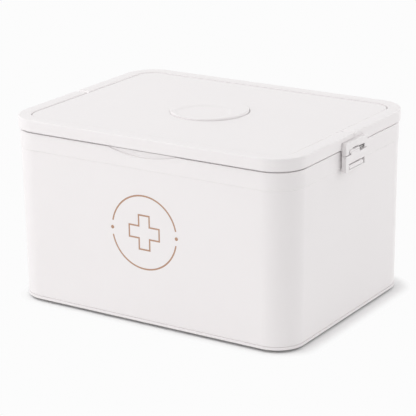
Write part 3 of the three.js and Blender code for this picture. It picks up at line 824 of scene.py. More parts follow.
FINISHES = {
    "shell_white": (shell_white, "white_plastic"),
    "printed_white": (printed_white, "white_plastic"),
    "tray_white": (tray_white, "tray_plastic"),
    "soft_rubber": (soft_rubber, "seal_rubber"),
    "drawn_steel": (drawn_steel, "pin_steel"),
}


def dress(piece, body, finish, node):
    """Shade a finished piece, give it its finish and let it stand for its node on its body."""
    smooth(piece)
    maker, slot = FINISHES[finish]
    piece.data.materials.clear()
    piece.data.materials.append(bpy.data.materials.get(finish) or maker())
    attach(piece, body)
    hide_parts(node)
    return piece


# Heights and insets that several pieces share

def seat_height():
    """Underside of the lid's shelf."""
    return LID_LOW.z + settings("lid").plug_height


def collar_inset():
    return HALF_DEPTH - TUB_HIGH.y


def base_inset():
    """Inset of the tub's wall at its base."""
    sizes = settings("tub")
    return collar_inset() + sizes.collar_step + sizes.draft


def plug_inset():
    return collar_inset() + settings("tub").wall + settings("lid").plug_play


def channel_inset():
    return HALF_LENGTH - PANEL_HIGH.x


def panel_bottom():
    return PANEL_HIGH.z - settings("lid").panel


def channel_top():
    """Top of the wall that carries the panel."""
    return panel_bottom() - settings("rim").touch


def rear_rim_start():
    handle = settings("handle")
    return PIVOT.y + handle.barrel + handle.barrel_gap


def window_bottom():
    return FLAP_LOW.z + settings("latch").bar


# Tub

def tub_shell():
    sizes = settings("tub")
    rim = settings("rim")
    collar = collar_inset()
    body = collar + sizes.collar_step
    base = base_inset()
    lip = base - sizes.lip_proud
    foot = base + sizes.foot_inset
    collar_bottom = TUB_TOP - sizes.collar_height
    step_top = collar_bottom + sizes.collar_step
    lip_top = sizes.foot_height + sizes.lip_height
    floor_top = sizes.foot_height + sizes.floor
    inner = base + sizes.wall
    return shell_form("tub_shell", [
        (foot + sizes.foot_width, sizes.foot_height),
        (foot + sizes.foot_width, 0),
        (foot, 0),
        (foot, sizes.foot_height),
        *round_foot(lip, sizes.foot_height, sizes.lip_rounding),
        (lip, lip_top),
        (base + sizes.groove_depth, lip_top),
        (base + sizes.groove_depth, lip_top + sizes.groove),
        (base, lip_top + sizes.groove),
        (body, collar_bottom),
        (collar, step_top),
        *round_top(collar, TUB_TOP, sizes.mouth),
        *round_inner_top(collar + sizes.wall, TUB_TOP, rim.edge),
        (collar + sizes.wall, step_top),
        (body + sizes.wall, collar_bottom),
        *quarter((inner + sizes.fillet, floor_top + sizes.fillet), sizes.fillet, 180, 270, steps=8),
    ])


def tray_rest_ribs():
    """Eight upright ribs inside the tub, which the tray's flange sits on."""
    sizes = settings("tub")
    inner = collar_inset() + sizes.collar_step + sizes.wall
    buried = inner - sizes.wall / 4
    reach = inner + sizes.rib_depth
    heights = (sizes.foot_height + sizes.floor / 2,
               TRAY_HIGH.z - settings("tray").flange - settings("rim").touch)
    half = sizes.rib_width / 2
    long_rib = block("long_side_rib", (sizes.rib_along - half, sizes.rib_along + half),
                     (HALF_DEPTH - buried, HALF_DEPTH - reach), heights)
    short_rib = block("short_side_rib", (HALF_LENGTH - buried, HALF_LENGTH - reach),
                      (sizes.rib_across - half, sizes.rib_across + half), heights)
    round_edges(long_rib, on("Z", heights[1]), settings("rim").edge, steps=2)
    round_edges(short_rib, on("Z", heights[1]), settings("rim").edge, steps=2)
    ribs = [long_rib, short_rib]
    for axis in "XY":
        ribs += [mirrored(rib, rib.name, axis) for rib in ribs]
    return ribs


def latch_catch():
    """Wedge on the right end, which the latch's bar hooks under."""
    sizes = settings("latch")
    root = HALF_LENGTH - collar_inset() - settings("tub").wall / 2
    tip = LATCH_FACE - sizes.catch_tip
    bottom = window_bottom() + sizes.catch_lift
    face_top = bottom + sizes.catch_face
    span = (LATCH_FRONT + sizes.cheek + sizes.catch_front, LATCH_REAR - sizes.cheek - sizes.catch_rear)
    wedge = block("latch_catch", (root, tip), span, (bottom, face_top))
    start_edit(wedge)
    pick_vertices(lambda place: same(place.z, face_top))
    step = (0, 0, sizes.catch - sizes.catch_face)
    bpy.ops.mesh.extrude_region_move(TRANSFORM_OT_translate={"value": step})
    pick_vertices(lambda place: same(place.z, bottom + sizes.catch) and same(place.x, tip))
    bpy.ops.transform.translate(value=(-sizes.catch_setback, 0, 0))
    end_edit()
    round_edges(wedge, lambda a, b: min(a.x, b.x) > root + NEAR, settings("rim").edge, steps=2)
    return wedge


def scoop_cutter():
    """Wide shallow disc sunk into the front of the collar, with a sloping edge."""
    sizes = settings("tub")
    half = sizes.scoop_width / 2
    radius = (half ** 2 + sizes.scoop_drop ** 2) / (2 * sizes.scoop_drop)
    face = -HALF_DEPTH + collar_inset()
    centre = Vector((0, 0, TUB_TOP - sizes.scoop_drop + radius))
    disc = rod("scoop_cutter", radius, "Y", (face - MM, face + sizes.scoop_depth), centre,
               sides=SCOOP_SIDES)
    start_edit(disc)
    pick_vertices(lambda place: place.y > face)
    factor = (radius - sizes.scoop_slope) / radius
    bpy.ops.transform.resize(value=(factor, 1, factor), center_override=centre)
    end_edit()
    return disc


class STORAGEBOX_OT_tub(bpy.types.Operator):
    """Model the tub with its stepped collar, finger scoop, tray ribs and latch catches"""
    bl_idname = "storage_box.tub"
    bl_label = "Tub"

    def execute(self, context):
        tub = tub_shell()
        right = latch_catch()
        fuse(tub, *tray_rest_ribs(), mirrored(right, "latch_catch_left"), right)
        cut(tub, scoop_cutter())
        dress(tub, "tub", "printed_white", "tub")
        return {"FINISHED"}


# Latches

def latch_envelope():
    """Outline that the right latch's bracket and flap share, rounded at its corners and face."""
    sizes = settings("latch")
    top = RIM_TOP - sizes.top_drop
    outline = block("latch_envelope", (HALF_LENGTH - PAST, LATCH_FACE),
                    (LATCH_FRONT, LATCH_REAR), (FLAP_LOW.z, top))
    round_edges(outline, along("X"), sizes.rounding, steps=8)
    round_edges(outline, on("X", LATCH_FACE), sizes.edge, steps=4)
    return outline


def latch_bracket():
    """Fixed half of the right latch: two legs from the shelf, a bar across them and hinge cheeks."""
    sizes = settings("latch")
    rim = settings("rim")
    handle = settings("handle")
    outside = LATCH_FACE + MM
    top = RIM_TOP - sizes.top_drop + MM
    bottom = seat_height() + BITE
    leg = (HALF_LENGTH - plug_inset() + BITE, outside)
    front_end = PIVOT.y - handle.barrel - rim.play
    opening = HINGE.z + sizes.knuckle + sizes.knuckle_top
    bracket = block("latch_bracket", leg, (LATCH_FRONT - MM, front_end), (bottom, top))
    rear_leg = block("rear_leg", leg, (rear_rim_start() + BITE, LATCH_REAR + MM), (bottom, top))
    bridge = block("bridge", (HALF_LENGTH + rim.play, outside), (LATCH_FRONT - MM, LATCH_REAR + MM),
                   (opening, top))
    fuse(bracket, rear_leg, bridge)
    for start in (LATCH_FRONT - MM, LATCH_REAR - sizes.cheek):
        ends = (start, start + sizes.cheek + MM)
        cheek = block("cheek", (HINGE.x - sizes.knuckle, outside), ends, (HINGE.z, bottom + MM))
        tip = rod("cheek_tip", sizes.knuckle, "Y", ends, HINGE)
        outer = block("cheek_face", (HINGE.x, outside), ends, (HINGE.z - sizes.cheek_drop, bottom))
        fuse(bracket, fuse(cheek, tip, outer))
    keep_common(bracket, latch_envelope())
    skin = sizes.pin_recess - rim.pin_play
    hole_ends = (LATCH_FRONT + skin, LATCH_REAR - skin)
    cut(bracket, rod("pin_hole", sizes.pin_radius + rim.pin_play, "Y", hole_ends, HINGE))
    merge_flat(bracket)
    return bracket


def latch_flap():
    """Moving half of the right latch: knuckle, face with the catch's window, side walls and bar."""
    sizes = settings("latch")
    rim = settings("rim")
    outside = LATCH_FACE + MM
    back = LATCH_FACE - sizes.depth
    flap_top = HINGE.z - sizes.knuckle - rim.touch
    start = LATCH_FRONT + sizes.cheek + sizes.knuckle_front
    end = start + sizes.knuckle_length
    flap = block("latch_flap", (back, outside), (LATCH_FRONT - MM, LATCH_REAR + MM),
                 (FLAP_LOW.z - MM, flap_top))
    hollow = block("flap_hollow", (back - MM, LATCH_FACE - sizes.thickness),
                   (LATCH_FRONT + sizes.side_wall, LATCH_REAR - sizes.side_wall),
                   (window_bottom(), flap_top + MM))
    cut(flap, hollow)
    front_wall = (LATCH_FRONT - MM, LATCH_FRONT + sizes.side_wall)
    rear_wall = (LATCH_REAR - sizes.side_wall, LATCH_REAR + MM)
    for ends in (front_wall, rear_wall):
        shoulder = block("shoulder", (back, HINGE.x), ends, (flap_top - BITE, HINGE.z - BITE))
        room = rod("cheek_room", sizes.knuckle + rim.touch, "Y", (ends[0] - MM, ends[1] + MM), HINGE)
        fuse(flap, cut(shoulder, room))
    knuckle = rod("knuckle", sizes.knuckle - sizes.knuckle_slim, "Y", (start, end), HINGE)
    round_edges(knuckle, on("Y", start), sizes.knuckle_rounding, steps=4)
    neck = block("neck", (HINGE.x + BITE, outside), (start + sizes.neck_front, end - BITE),
                 (flap_top - BITE, HINGE.z))
    fuse(flap, knuckle, neck)
    window = block("catch_window", (back - MM, outside + MM),
                   (LATCH_FRONT + sizes.cheek, LATCH_REAR - sizes.cheek),
                   (window_bottom() - BITE / 4, window_bottom() + sizes.window))
    hole = rod("pin_hole", sizes.pin_radius + rim.pin_play, "Y", (LATCH_FRONT, LATCH_REAR), HINGE)
    cut(flap, window)
    keep_common(flap, latch_envelope())
    cut(flap, hole)
    merge_flat(flap)
    return flap


class STORAGEBOX_OT_latches(bpy.types.Operator):
    """Model the flap of each latch"""
    bl_idname = "storage_box.latches"
    bl_label = "Latches"

    def execute(self, context):
        right = latch_flap()
        left = mirrored(right, "latch_flap_left")
        right.name = "latch_flap_right"
        dress(right, "latch_right", "shell_white", "latch_right")
        dress(left, "latch_left", "shell_white", "latch_left")
        return {"FINISHED"}


# Lid

def rim_section():
    """Outer side and top of the rim, from its bottom edge to its inner top edge."""
    rim = settings("rim")
    return [
        (0, RIM_BOTTOM),
        *round_top(0, RIM_TOP, rim.rounding),
        *ease_inner_top(rim.band, RIM_TOP, rim.inner_ease, rim.inner_drop),
    ]


def shelf_edge():
    """Inset of the shelf's outer edge."""
    return settings("rim").wall + settings("lid").shelf_play


def shelf_and_plug():
    """Shelf under the handle, wall that carries the panel and grooved plug wall, in one section."""
    sizes = settings("lid")
    rim = settings("rim")
    seat = seat_height()
    shelf_top = seat + sizes.shelf
    outer = shelf_edge()
    channel = channel_inset()
    inner = channel + sizes.channel_wall
    plug = plug_inset()
    groove_top = seat - sizes.groove_drop
    groove_bottom = groove_top - sizes.groove_height
    return ring_form("lid_rim", [
        (outer, seat),
        (outer, shelf_top),
        (channel, shelf_top),
        (channel, channel_top()),
        (inner, channel_top()),
        (inner, seat - BITE),
        (channel, seat - BITE),
        (channel, seat),
        (plug + sizes.plug_wall, seat),
        (plug + sizes.plug_wall, LID_LOW.z),
        (plug + rim.edge, LID_LOW.z),
        (plug, LID_LOW.z + rim.edge),
        (plug, groove_bottom),
        (plug + sizes.groove_depth, groove_bottom),
        (plug + sizes.groove_depth, groove_top),
        (plug, groove_top),
        (plug, seat),
    ])


def rear_rim():
    """Rear half of the rim, filled down to the shelf, for the rear core to hollow from below."""
    top = channel_top() - BITE
    bottom = seat_height() + BITE
    inner = channel_inset() + BITE
    foot = shelf_edge() + BITE
    half = ring_form("rear_rim", [
        *rim_section(),
        (settings("rim").band, top),
        (inner, top),
        (inner, bottom),
        (foot, bottom),
        (foot, RIM_BOTTOM),
    ])
    return trim(half, (0, rear_rim_start(), 0), FORWARD)


def rear_core():
    sizes = settings("lid")
    rim = settings("rim")
    core = band("rear_core", plug_inset() + sizes.plug_wall + BITE, rim.band - sizes.channel_wall,
                LID_LOW.z - MM, RIM_TOP - rim.top)
    return trim(core, (0, rear_rim_start() + rim.wall, 0), FORWARD)


def parting_chamfer():
    """Square bar set on edge, which chamfers the rear rim where it meets the handle."""
    reach = HALF_LENGTH + MM
    place = (0, rear_rim_start(), RIM_TOP)
    return rod("parting_chamfer", settings("handle").parting, "X", (-reach, reach), place, sides=4)


def pivot_span(extra=0.0):
    """Ends of the right pivot pin along X."""
    sizes = settings("lid")
    inner = HALF_LENGTH - channel_inset() - sizes.boss_depth
    outer = HALF_LENGTH - sizes.gap - settings("rim").band + sizes.pin_reach
    return (inner - extra, outer + extra)


def pivot_hole():
    rim = settings("rim")
    return rod("pivot_hole", settings("lid").pin_radius + rim.pin_play, "X", pivot_span(MM), PIVOT)


def pivot_boss():
    sizes = settings("lid")
    channel = HALF_LENGTH - channel_inset()
    boss = block("pivot_boss", (channel - sizes.boss_depth, channel - BITE),
                 (PIVOT.y - sizes.boss_half, PIVOT.y + sizes.boss_half),
                 (seat_height() + sizes.shelf, channel_top() - BITE / 2))
    round_edges(boss, on("X", channel - sizes.boss_depth), settings("rim").edge, steps=2)
    return boss


class STORAGEBOX_OT_lid_rim(bpy.types.Operator):
    """Model the lid's rear rim, shelf, plug wall, pivot bosses and latch brackets"""
    bl_idname = "storage_box.lid_rim"
    bl_label = "Lid rim"

    def execute(self, context):
        lid = shelf_and_plug()
        fuse(lid, rear_rim())
        cut(lid, rear_core(), parting_chamfer())
        for maker in (pivot_boss, latch_bracket):
            right = maker()
            fuse(lid, mirrored(right, right.name + "_left"), right)
        hole = pivot_hole()
        cut(lid, mirrored(hole, "pivot_hole_left"), hole)
        dress(lid, "lid", "shell_white", "lid_frame")
        return {"FINISHED"}


def cap_seat():
    """Floor of the cap's seat, which is the top of the well's flange."""
    return WELL_HIGH.z


def well_ledge_top():
    return cap_seat() - settings("well").flange - settings("rim").touch


def seat_radius():
    return CAP_HIGH.x + settings("well").seat_play


def panel_plate():
    """Flat top of the panel, a little to the left of the middle and close to the fixed rear rim."""
    sizes = settings("lid")
    plate = shell_form("top_panel", [
        (channel_inset(), panel_bottom()),
        *round_top(channel_inset(), PANEL_HIGH.z, sizes.panel_rounding),
    ])
    shift(plate, (-sizes.aside, 0, 0))
    start_edit(plate)
    rear_corners = HALF_DEPTH - settings("rim").corner
    pick_vertices(lambda place: place.y > rear_corners - MM)
    bpy.ops.transform.translate(value=(0, sizes.rear_fit, 0))
    end_edit()
    return plate


def edge_wall_inset():
    return channel_inset() + settings("lid").channel_wall + settings("handle").barrel_gap


def panel_edge_wall():
    """Wall under the panel's edge, with room for the two pivot bosses."""
    sizes = settings("lid")
    play = settings("rim").play
    inset = edge_wall_inset()
    wall = band("edge_wall", inset, inset + sizes.rib, PANEL_LOW.z, panel_bottom() + MM)
    reach = HALF_LENGTH - channel_inset() - sizes.boss_depth - play
    width = sizes.boss_half + play
    for side in (-1, 1):
        cut(wall, block("boss_room", (side * reach, side * HALF_LENGTH), (PIVOT.y - width, PIVOT.y + width),
                        (PANEL_LOW.z - MM, panel_bottom() + BITE)))
    return wall


def panel_ribs():
    """Two ribs along the panel and four across it."""
    sizes = settings("lid")
    half = sizes.rib / 2
    heights = (PANEL_LOW.z + BITE, panel_bottom() + BITE)
    reach_x = HALF_LENGTH - edge_wall_inset() - half
    reach_y = HALF_DEPTH - edge_wall_inset() - half
    ribs = []
    for count in (-1, 1):
        y = count * sizes.rib_pitch
        ribs.append(block("long_rib", (-reach_x, reach_x), (y - half, y + half), heights))
    for count in (-2, -1, 1, 2):
        x = count * sizes.rib_pitch
        ribs.append(block("cross_rib", (x - half, x + half), (-reach_y, reach_y), heights))
    return ribs


def well_collar():
    """Collar under the panel that carries the well's flange."""
    sizes = settings("well")
    radius = seat_radius() + sizes.collar
    return round_form("well_collar", [
        (radius, well_ledge_top() - sizes.ledge),
        (radius, panel_bottom() + BITE),
    ])


def well_bore():
    """Bore for the well, wider above the ledge for its flange and the cap."""
    sizes = settings("well")
    rim = settings("rim")
    bore = sizes.radius + sizes.wall + rim.touch
    seat = seat_radius()
    return round_form("well_bore", [
        (bore, PANEL_LOW.z - MM),
        (bore, well_ledge_top()),
        (seat, well_ledge_top()),
        (seat, PANEL_HIGH.z - rim.edge),
        (seat + rim.edge, PANEL_HIGH.z),
        (seat + rim.edge, PANEL_HIGH.z + MM),
    ])


class STORAGEBOX_OT_lid_panel(bpy.types.Operator):
    """Model the flat panel with its ribs, its edge wall and the collar round the well"""
    bl_idname = "storage_box.lid_panel"
    bl_label = "Lid panel"

    def execute(self, context):
        panel = panel_plate()
        fuse(panel, panel_edge_wall(), *panel_ribs(), well_collar())
        cut(panel, well_bore())
        dress(panel, "lid", "shell_white", "lid_panel")
        return {"FINISHED"}


class STORAGEBOX_OT_well(bpy.types.Operator):
    """Model the round well that hangs in the panel"""
    bl_idname = "storage_box.well"
    bl_label = "Well"

    def execute(self, context):
        sizes = settings("well")
        rim = settings("rim")
        outer = sizes.radius + sizes.wall
        flange = seat_radius() - rim.touch
        flange_bottom = cap_seat() - sizes.flange
        floor = WELL_LOW.z + sizes.floor
        foot = [(outer - inset, height) for inset, height in round_foot(0, WELL_LOW.z, sizes.rounding)]
        halfway = 0.3 * sizes.fillet
        well = round_form("well_cup", [
            *foot,
            (outer, flange_bottom),
            (flange, flange_bottom),
            (flange, cap_seat() - rim.edge),
            (flange - rim.edge, cap_seat()),
            (sizes.radius + rim.edge, cap_seat()),
            (sizes.radius, cap_seat() - rim.edge),
            (sizes.radius, floor + sizes.fillet),
            (sizes.radius - halfway, floor + halfway),
            (sizes.radius - sizes.fillet, floor),
        ])
        dress(well, "lid", "shell_white", "lid_well")
        return {"FINISHED"}


def thumb_dish():
    """Cutter for the cap's dish, whose edge follows half a cosine wave."""
    sizes = settings("well")
    shares = [step / DISH_STEPS for step in range(DISH_STEPS + 1)]
    depths = [sizes.dish_depth * (1 + math.cos(math.pi * share)) / 2 for share in shares]
    dish = round_form("thumb_dish", [
        *((sizes.dish_radius - sizes.dish_slope * (1 - share), CAP_HIGH.z - depth)
          for share, depth in zip(shares, depths)),
        (sizes.dish_radius, CAP_HIGH.z + MM),
    ])
    shift(dish, (0, -sizes.dish_offset, 0))
    return dish


class STORAGEBOX_OT_cap(bpy.types.Operator):
    """Model the well's round cap with its plug ring and thumb dish"""
    bl_idname = "storage_box.cap"
    bl_label = "Well cap"

    def execute(self, context):
        sizes = settings("well")
        rim = settings("rim")
        bottom = CAP_HIGH.z - sizes.cap
        plug = sizes.radius - rim.play
        edge = round_top(-CAP_HIGH.x, CAP_HIGH.z, sizes.cap_rounding)
        cap = round_form("cap_disc", [
            (plug - sizes.plug_wall, bottom),
            (plug - sizes.plug_wall, CAP_LOW.z),
            (plug - rim.edge, CAP_LOW.z),
            (plug, CAP_LOW.z + rim.edge),
            (plug, bottom),
            (CAP_HIGH.x, bottom),
            *((-inset, height) for inset, height in edge),
        ])
        cut(cap, thumb_dish())
        shift(cap, (-sizes.cap_aside, -sizes.cap_forward, 0))
        dress(cap, "well_cap", "shell_white", "well_cap")
        return {"FINISHED"}


class STORAGEBOX_OT_seal(bpy.types.Operator):
    """Model the double-lipped seal in the plug wall's groove"""
    bl_idname = "storage_box.seal"
    bl_label = "Lid seal"

    def execute(self, context):
        outer = HALF_LENGTH - SEAL_HIGH.x
        sizes = settings("lid")
        rim = settings("rim")
        inner = plug_inset() + sizes.groove_depth - rim.touch
        low, high = SEAL_LOW.z, SEAL_HIGH.z
        valley = outer + sizes.seal_lip
        step = (high - low) / 6
        seal = ring_form("seal_ring", [
            (inner, low),
            (valley, low),
            (outer, low + step),
            (outer, low + 1.5 * step),
            (valley, low + 3 * step),
            (outer, high - 1.5 * step),
            (outer, high - step),
            (valley, high),
            (inner, high),
        ])
        dress(seal, "lid", "soft_rubber", "lid_seal")
        return {"FINISHED"}


# Handle

def handle_hollow():
    """Channel under the grip, which ends at the solid arms."""
    sizes = settings("handle")
    rim = settings("rim")
    underside = handle_underside()
    hollow = band("grip_hollow", rim.wall, rim.band - rim.wall, underside - MM, RIM_TOP - rim.top)
    return trim(hollow, (0, PIVOT.y - sizes.arm, 0), BACKWARD)


def handle_underside():
    return seat_height() + settings("lid").shelf + settings("rim").touch


def grip_ribs():
    sizes = settings("handle")
    rim = settings("rim")
    half = sizes.rib / 2
    count = int((HALF_LENGTH - rim.corner - sizes.rib_pitch / 4) / sizes.rib_pitch)
    first = block("grip_rib", (-half, half),
                  (-HALF_DEPTH + rim.wall / 2, -HALF_DEPTH + rim.band - rim.wall / 2),
                  (handle_underside() - rim.touch + rim.play, RIM_TOP - rim.top / 2))
    places = [place for place in range(-count, count + 1) if place]
    return [first, *(copy_of(first, "grip_rib", (place * sizes.rib_pitch, 0, 0)) for place in places)]


def turning_end():
    """Right end of the handle, a barrel that turns on the pivot pin."""
    sizes = settings("handle")
    rim = settings("rim")
    barrel = rod("turning_end", sizes.barrel, "X", (HALF_LENGTH - rim.band, HALF_LENGTH), PIVOT,
                 ROUND_SIDES)
    return keep_common(barrel, shell_form("rim_volume", [
        (0, RIM_BOTTOM - PAST), *round_top(0, RIM_TOP, rim.rounding)]))


class STORAGEBOX_OT_handle(bpy.types.Operator):
    """Model the handle, the front half of the rim, which turns about its two ends"""
    bl_idname = "storage_box.handle"
    bl_label = "Handle"

    def execute(self, context):
        rim = settings("rim")
        handle = ring_form("carry_handle", [
            *rim_section(),
            (rim.band, RIM_BOTTOM),
        ])
        trim(handle, (0, PIVOT.y, 0), BACKWARD)
        cut(handle, handle_hollow())
        fuse(handle, *grip_ribs())
        notch = block("latch_notch", (HALF_LENGTH - plug_inset() - rim.play, HALF_LENGTH + MM),
                      (LATCH_FRONT - rim.play, PIVOT.y + MM),
                      (RIM_BOTTOM - MM, RIM_TOP - settings("latch").top_drop + rim.touch))
        cut(handle, mirrored(notch, "latch_notch_left"), notch)
        end = turning_end()
        fuse(handle, mirrored(end, "turning_end_left"), end)
        hole = pivot_hole()
        cut(handle, mirrored(hole, "pivot_hole_left"), hole)
        dress(handle, "handle", "shell_white", "handle")
        return {"FINISHED"}


class STORAGEBOX_OT_pins(bpy.types.Operator):
    """Model the handle's two pivot pins and the latches' two hinge pins"""
    bl_idname = "storage_box.pins"
    bl_label = "Pins"

    def execute(self, context):
        lid = settings("lid")
        latch = settings("latch")
        pivot = rod("pivot_pin_right", lid.pin_radius, "X", pivot_span(), PIVOT)
        hinge = rod("hinge_pin_right", latch.pin_radius, "Y",
                    (LATCH_FRONT + latch.pin_recess, LATCH_REAR - latch.pin_recess), HINGE)
        for pin, node in ((pivot, "handle_pivot"), (hinge, "latch_pin")):
            soften(pin)
            other = mirrored(pin, pin.name.replace("right", "left"))
            dress(pin, "lid", "drawn_steel", node + "_right")
            dress(other, "lid", "drawn_steel", node + "_left")
        return {"FINISHED"}


# Tray

def tray_inset():
    tub = settings("tub")
    return collar_inset() + tub.collar_step + tub.wall + tub.rib_depth + settings("rim").touch


def tray_inner_depth(height):
    """Half the tray's inside depth at a height."""
    sizes = settings("tray")
    lean = sizes.draft * (TRAY_HIGH.z - height) / (TRAY_HIGH.z - TRAY_LOW.z)
    return HALF_DEPTH - tray_inset() - sizes.wall - lean


def tray_shell():
    sizes = settings("tray")
    edge = settings("rim").edge
    wall = tray_inset()
    flange = HALF_LENGTH - TRAY_HIGH.x
    inner = wall + sizes.draft + sizes.wall
    floor = TRAY_LOW.z + sizes.floor
    small = sizes.fillet - sizes.wall
    return shell_form("compartment_tray", [
        *round_foot(wall + sizes.draft, TRAY_LOW.z, sizes.fillet),
        (wall, TRAY_HIGH.z - sizes.flange),
        (flange + edge, TRAY_HIGH.z - sizes.flange),
        (flange, TRAY_HIGH.z - sizes.flange + edge),
        *round_top(flange, TRAY_HIGH.z, 2 * edge),
        *round_inner_top(wall + sizes.wall, TRAY_HIGH.z, 2 * edge),
        *quarter((inner + small, floor + small), small, 180, 270),
    ])


def guide_ribs():
    """Pairs of ribs on the long walls and the partition, which hold the dividers upright."""
    sizes = settings("tray")
    floor = TRAY_LOW.z + sizes.floor
    low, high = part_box("tray_divider_3")
    heights = (floor - MM, floor + high.z - low.z)
    apart = (high.x - low.x) / 2 + sizes.divider_play + sizes.guide / 2
    wall = tray_inner_depth(TRAY_HIGH.z) + sizes.wall / 2
    foot = tray_inner_depth(floor) - sizes.guide_depth
    core = sizes.partition / 2
    start = sizes.station + apart - sizes.guide / 2
    guides = []
    for face, root in ((foot, wall), (core + sizes.guide_depth, core - MM)):
        guide = block("guide_rib", (start, start + sizes.guide), (face, root), heights)
        round_edges(guide, on("Y", face), settings("rim").edge, steps=1)
        guides.append(guide)
    guides += [copy_of(guide, "guide_rib", (-2 * apart, 0, 0)) for guide in guides]
    guides += [copy_of(guide, "guide_rib", (sizes.station, 0, 0)) for guide in guides]
    for axis in "XY":
        guides += [mirrored(guide, "guide_rib", axis) for guide in guides]
    return guides


def hand_slot():
    sizes = settings("tray")
    top = TRAY_HIGH.z - sizes.slot_drop
    slot = block("hand_slot", (-sizes.slot_length / 2, sizes.slot_length / 2),
                 (-sizes.partition, sizes.partition), (top - sizes.slot_height, top))
    just_under_half = 0.4999
    round_edges(slot, along("Y"), just_under_half * sizes.slot_height, steps=16)
    return slot


class STORAGEBOX_OT_tray(bpy.types.Operator):
    """Model the lift-out tray with its middle wall, hand slot and divider guides"""
    bl_idname = "storage_box.tray"
    bl_label = "Tray"

    def execute(self, context):
        sizes = settings("tray")
        tray = tray_shell()
        reach = HALF_LENGTH - tray_inset() - sizes.wall / 2 - sizes.draft
        floor = TRAY_LOW.z + sizes.floor
        half = sizes.partition / 2
        partition = block("middle_wall", (-reach, reach), (-half, half), (floor - MM, TRAY_HIGH.z))
        cut(partition, hand_slot())
        soften(partition, sizes.partition_edge, steps=3)
        fuse(tray, partition, *guide_ribs())
        dress(tray, "tray", "tray_white", "tray")
        return {"FINISHED"}


class STORAGEBOX_OT_dividers(bpy.types.Operator):
    """Model one divider plate and stand a copy in each of the tray's four places"""
    bl_idname = "storage_box.dividers"
    bl_label = "Dividers"

    def execute(self, context):
        sizes = settings("tray")
        low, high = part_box("tray_divider_3")
        plate = block("divider_plate", (low.x, high.x), (low.y, high.y), (low.z, high.z))
        round_edges(plate, along("X", lambda middle: same(middle.z, high.z)), sizes.divider_corner,
                    steps=10)
        foot = sizes.fillet - sizes.wall
        lower = along("X", lambda middle: same(middle.z, low.z) and same(middle.y, high.y))
        round_edges(plate, lower, foot, steps=1)
        soften(plate, sizes.divider_edge)
        centre = (low + high) / 2
        for number in range(1, 5):
            node = f"tray_divider_{number}"
            node_low, node_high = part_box(node)
            place = (node_low + node_high) / 2
            turned = plate if place.y * centre.y > 0 else mirrored(plate, "turned_plate", "Y")
            made = copy_of(turned, f"divider_{number}", (place.x - centre.x, 0, 0))
            if turned is not plate:
                bpy.data.objects.remove(turned)
            dress(made, "tray", "tray_white", node)
        bpy.data.objects.remove(plate)
        return {"FINISHED"}


# Stage, with the floor's radius in metres, its darker patches' share of its white, the width of the
# camera's sensor in millimetres and the distance in metres that the camera sees

FLOOR_RADIUS = 6
PATCH_SHARE = 0.998
SENSOR_WIDTH = 36
SIGHT = 50


def seen_directly(tree):
    """Socket that is 1 for camera, glossy and transmitted rays."""
    path = tree.nodes.new("ShaderNodeLightPath")
    share = path.outputs["Is Camera Ray"]
    for name in ("Is Glossy Ray", "Is Transmission Ray"):
        most = tree.nodes.new("ShaderNodeMath")
        most.operation = "MAXIMUM"
        tree.links.new(share, most.inputs[0])
        tree.links.new(path.outputs[name], most.inputs[1])
        share = most.outputs["Value"]
    return share


def pale_world():
    """White world for the camera, glossy and transmitted rays, and an even light for the rest."""
    studio = settings("studio")
    world = bpy.data.worlds.new("studio_world")
    bpy.context.scene.world = world
    world.use_nodes = True
    tree = world.node_tree
    lit = tree.nodes["Background"]
    lit.inputs["Color"].default_value = (1, 1, 1, 1)
    lit.inputs["Strength"].default_value = studio.sky
    seen = tree.nodes.new("ShaderNodeBackground")
    seen.inputs["Color"].default_value = (*studio.backdrop, 1)
    mix = tree.nodes.new("ShaderNodeMixShader")
    tree.links.new(seen_directly(tree), mix.inputs["Fac"])
    tree.links.new(lit.outputs["Background"], mix.inputs[1])
    tree.links.new(seen.outputs["Background"], mix.inputs[2])
    tree.links.new(mix.outputs["Shader"], tree.nodes["World Output"].inputs["Surface"])


